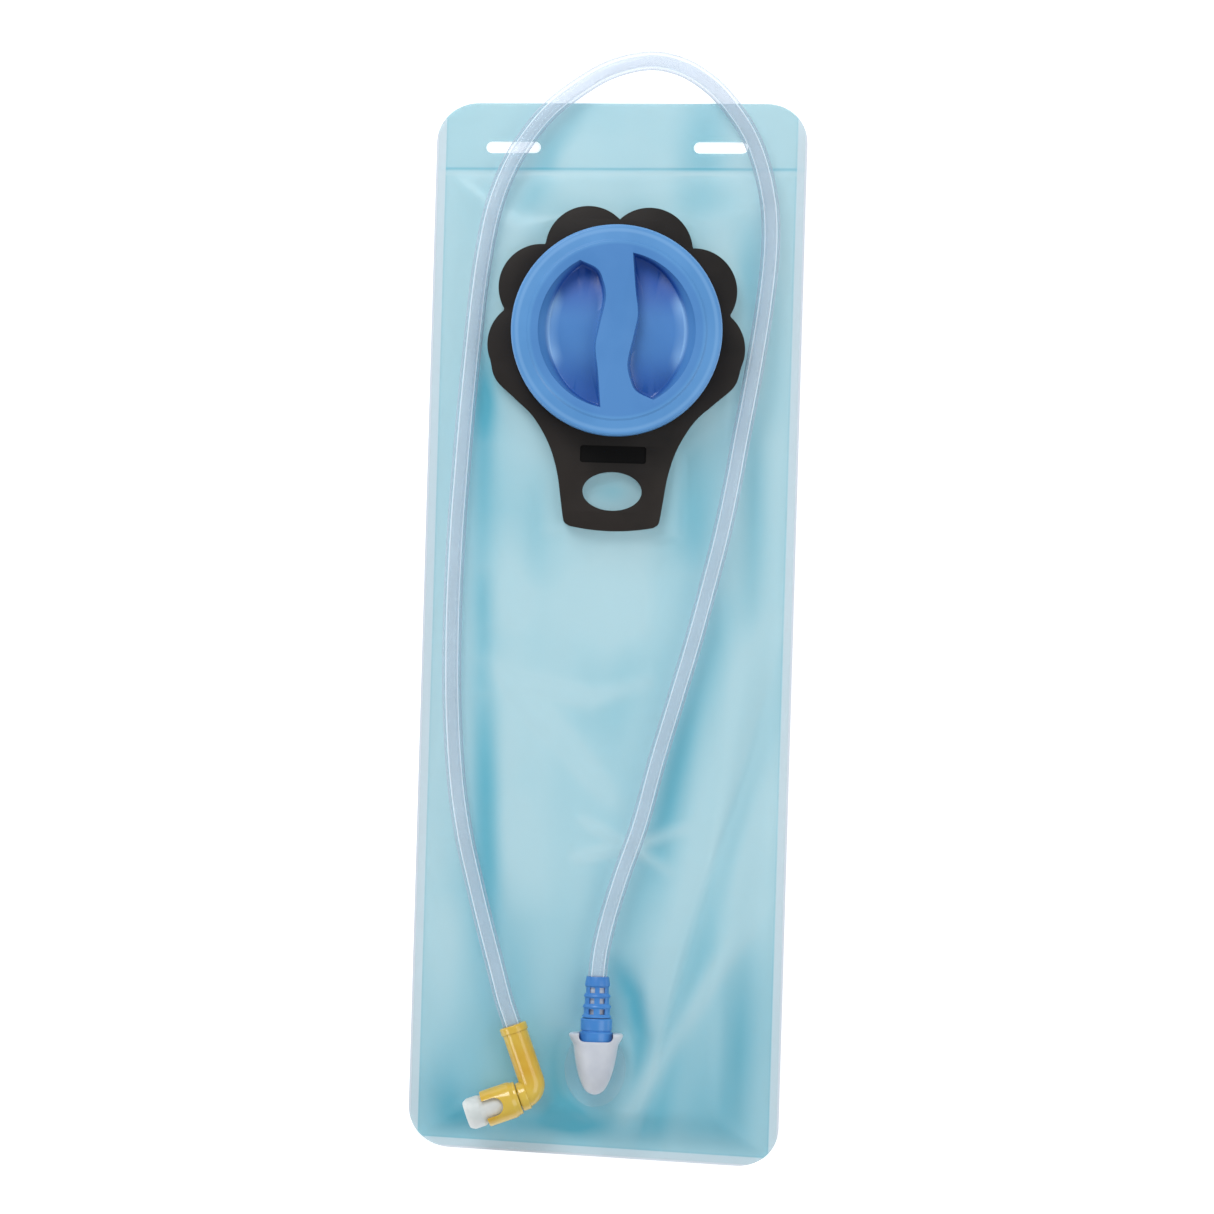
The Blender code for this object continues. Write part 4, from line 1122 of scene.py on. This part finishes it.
def make_plug_pieces(blue):
    """The two-band collar and the boot with its flex windows."""
    low = BAND_LOW.y - PORT_AXIS.y
    high = BAND_HIGH.y - PORT_AXIS.y
    band = (
        (0.0044, high, 0), (0.0069, high, 0.0006), (0.0069, 0.0014, 0.0003),
        (0.0065, 0.0011, 0.0002), (0.0065, 0.0007, 0.0002), (0.0072, 0.0004, 0.0003),
        (0.0072, low, 0.0006), (0.0044, low, 0),
    )
    mesh = baked(lathe("bands", band, PORT_FRAME, 72, closed=True))
    add_mesh("coupling_bands", mesh, blue, "plug", ["coupling_collar"])
    start = BOOT_LOW.y - PORT_AXIS.y
    stop = BOOT_HIGH.y - PORT_AXIS.y
    root, end = 0.0065, 0.0050
    rows = (0.0095, 0.0142, 0.0189)
    points = [(0.0045, stop, 0), (end - 0.0001, stop, 0.0005)]
    for row in reversed(rows):
        radius = root + (end - root) * (row - start) / (stop - start)
        points += [(radius + out, row + off, 0.0003) for out, off in
                   ((0.0001, 0.0020), (-0.0005, 0.0013), (-0.0005, -0.0013), (0.0001, -0.0020))]
    points += [(root, start, 0.0003), (0.0045, start, 0)]
    boot = lathe("boot", points, PORT_FRAME, 72, closed=True, arc_steps=3)
    tools = [prism(f"window_{row}_{turn}", [rounded_box(0.020, 0.0026, 0.0006)], row - 0.0012,
                   row + 0.0012, PORT_FRAME @ Matrix.Rotation(radians(turn), 4, "Z"))
             for row in rows for turn in (63, 117)]
    boolean(boot, *tools)
    bevel(boot, 0.00018, 2, 45)
    mesh = baked(boot, *tools)
    add_mesh("boot_moulded", mesh, blue, "plug", ["strain_relief_boot"])


# ---------------------------------------------------------------- bite valve

STEM_FRAME = axis_matrix(ELBOW_CORNER, STEM_WAY)
ELBOW_RADIUS = 0.0056


def make_elbow(finish):
    """The hose arm, the corner and the short arm as one swept tube, with a socket and a stem."""
    arm_end = 0.0305
    bend = 0.0052
    line = [ELBOW_CORNER + HOSE_ARM_WAY * (arm_end - (arm_end - bend) * step / 10)
            for step in range(11)]
    for step in range(1, 13):
        angle = pi / 2 * step / 12
        centre = ELBOW_CORNER + bend * (HOSE_ARM_WAY + STEM_WAY)
        line.append(centre - bend * (cos(angle) * STEM_WAY + sin(angle) * HOSE_ARM_WAY))
    line.append(ELBOW_CORNER + STEM_WAY * 0.0062)
    line.append(ELBOW_CORNER + STEM_WAY * 0.0068)
    shape = bmesh.new()
    rings = ring_tube(shape, line, ELBOW_RADIUS, 48)
    elbow = capped("elbow", shape, rings)
    hose_axis = axis_matrix(ELBOW_CORNER, HOSE_ARM_WAY)
    cuff = lathe("cuff", ((0.0, 0.0310, 0), (0.0061, 0.0310, 0.0007), (0.0061, 0.0275, 0.0005),
                          (0.0, 0.0275, 0)), hose_axis, 72)
    stem = lathe("stem", (
        (0.0, 0.0190, 0), (0.0036, 0.0190, 0.0004), (0.0036, 0.0112, 0.0001),
        (0.0028, 0.0112, 0), (0.0028, 0.0098, 0), (0.0036, 0.0098, 0.0001), (0.0036, 0.0074, 0),
        (0.0064, 0.0074, 0.0006), (0.0064, 0.0035, 0.0008), (0.0, 0.0035, 0),
    ), STEM_FRAME, 72)
    socket = lathe("socket", [(0.0, 0.040), (0.0045, 0.040), (0.0045, 0.0170), (0.0029, 0.0170),
                              (0.0029, 0.0), (0.0, 0.0)], hose_axis, 48)
    bore = lathe("stem_bore", [(0.0, 0.0175), (0.0020, 0.0175), (0.0020, 0.0), (0.0, 0.0)],
                 STEM_FRAME, 32)
    boolean(elbow, cuff, stem, operation="UNION")
    boolean(elbow, socket, bore)
    mesh = baked(elbow, cuff, stem, socket, bore)
    add_mesh("elbow_yellow", mesh, finish, "elbow", ["valve_elbow"])


def make_sleeve(finish):
    """The shut-off sleeve with a U notch at its top and its bottom."""
    end = 0.0235
    low = 0.0077
    sleeve = lathe("sleeve", (
        (0.0065, end, 0.0003), (0.0081, end, 0.0005), (0.0081, low + 0.0030, 0.0008),
        (0.0074, low + 0.0014, 0.0005), (0.0074, low, 0.0006), (0.0042, low, 0),
        (0.0042, 0.0136, 0), (0.0065, 0.0136, 0),
    ), STEM_FRAME, closed=True)
    half = 0.0040
    floor = end - 0.0085 + half
    outline = [(half, 0.012), (-half, 0.012)]
    outline += [(half * cos(angle), half * sin(angle))
                for angle in (pi + pi * step / 20 for step in range(21))]
    across = Matrix((STEM_WAY.cross(UP), STEM_WAY, UP)).transposed().to_4x4()
    notch = prism("notch", [outline], -0.012, 0.012,
                  Matrix.Translation(ELBOW_CORNER + STEM_WAY * floor) @ across)
    boolean(sleeve, notch)
    bevel(sleeve, 0.0004, 3, 40)
    mesh = baked(sleeve, notch)
    add_mesh("shutoff_sleeve", mesh, finish, "shutoff", ["shutoff_collar"])


def make_mouthpiece(finish):
    """A soft nipple with a lip and a slit."""
    low = 0.0139
    tip = 0.0320
    mouth = lathe("mouth", (
        (0.0, tip, 0), (0.0058, tip, 0.0014), (0.0070, tip - 0.0022, 0.0016),
        (0.0070, tip - 0.0068, 0.0012), (0.0062, tip - 0.0088, 0.0010), (0.0062, low, 0.0005),
        (0.0041, low, 0.0003), (0.0041, tip - 0.0060, 0.0010), (0.0020, tip - 0.0026, 0.0006),
        (0.0, tip - 0.0022, 0),
    ), STEM_FRAME, 72, arc_steps=5)
    slit = prism("slit", [rounded_box(0.0072, 0.00045, 0.0001)], tip - 0.004, tip + 0.004,
                 STEM_FRAME)
    boolean(mouth, slit)
    mesh = baked(mouth, slit)
    add_mesh("mouthpiece_silicone", mesh, finish, "shutoff", ["bite_mouthpiece"])


# ---------------------------------------------------------------- everything


def frosted(name, colour, dark, roughness, opacity, tint=(0.90, 0.95, 0.98)):
    """Milky translucent plastic or silicone."""
    shader = Shader(name)
    cloud = shader.spread(shader.noise(90.0), 0.3, 0.7)
    shader.set(Base_Color=shader.mixed(cloud, dark, colour), Roughness=roughness, IOR=1.45,
               Subsurface_Weight=0.6, Subsurface_Scale=0.004, Subsurface_Radius=(1.0, 1.0, 1.0))
    shader.bump(shader.noise(700.0, detail=2.0), 0.06, 0.0003)
    if opacity < 1:
        see_through(shader, tint, opacity)
    return shader.material


def rubber(name, colour):
    shader = Shader(name)
    cloud = shader.spread(shader.noise(400.0), 0.35, 0.65)
    shader.set(Base_Color=shader.mixed(cloud, colour, tuple(c * 1.8 for c in colour)),
               Roughness=0.55)
    shader.bump(shader.noise(1800.0), 0.1, 0.0002)
    return shader.material


def steel(name):
    shader = Shader(name)
    drawn = shader.spread(shader.noise(900.0, stretch=(1.0, 1.0, 0.1)), 0.3, 0.7)
    shader.set(Base_Color=shader.mixed(drawn, (0.50, 0.50, 0.50), (0.66, 0.66, 0.66)),
               Metallic=1.0, Roughness=0.25)
    return shader.material


def main():
    make_camera()
    make_stage()
    white = frosted("white_plastic", (0.72, 0.76, 0.83), (0.64, 0.68, 0.76), 0.36, 0.90)
    thin_white = frosted("white_plastic_thin", (0.66, 0.82, 0.88), (0.56, 0.74, 0.82), 0.36, 0.14,
                         (0.985, 0.995, 1.0))
    silicone = frosted("silicone", (0.90, 0.94, 0.93), (0.76, 0.81, 0.81), 0.42, 0.82)
    yellow = moulded("yellow_plastic", (0.74, 0.53, 0.080), (0.67, 0.36, 0.014), 0.20,
                     subsurface=0.12, coat=0.3)
    dark = rubber("dark_rubber", (0.015, 0.015, 0.016))
    spring = steel("spring_steel")
    make_elbow(yellow)
    make_sleeve(yellow)
    make_mouthpiece(silicone)
    make_films(make_hose())
    make_collar()
    make_lid()
    make_port(white, thin_white)
    make_plug_pieces(moulded("blue_plastic_small", (0.055, 0.265, 0.680), (0.045, 0.220, 0.610),
                             0.34, coat=0.15))
    for names, finish in (
        (("fill_neck", "port_poppet", "hose_plug"), white),
        (("lid_gasket",), silicone),
        (("poppet_seal", "plug_o_ring_inner", "plug_o_ring_outer", "swivel_seal", "stem_o_ring"),
         dark),
        (("poppet_spring",), spring),
    ):
        for name in names:
            give_finish(frame["nodes"][name], finish)


main()
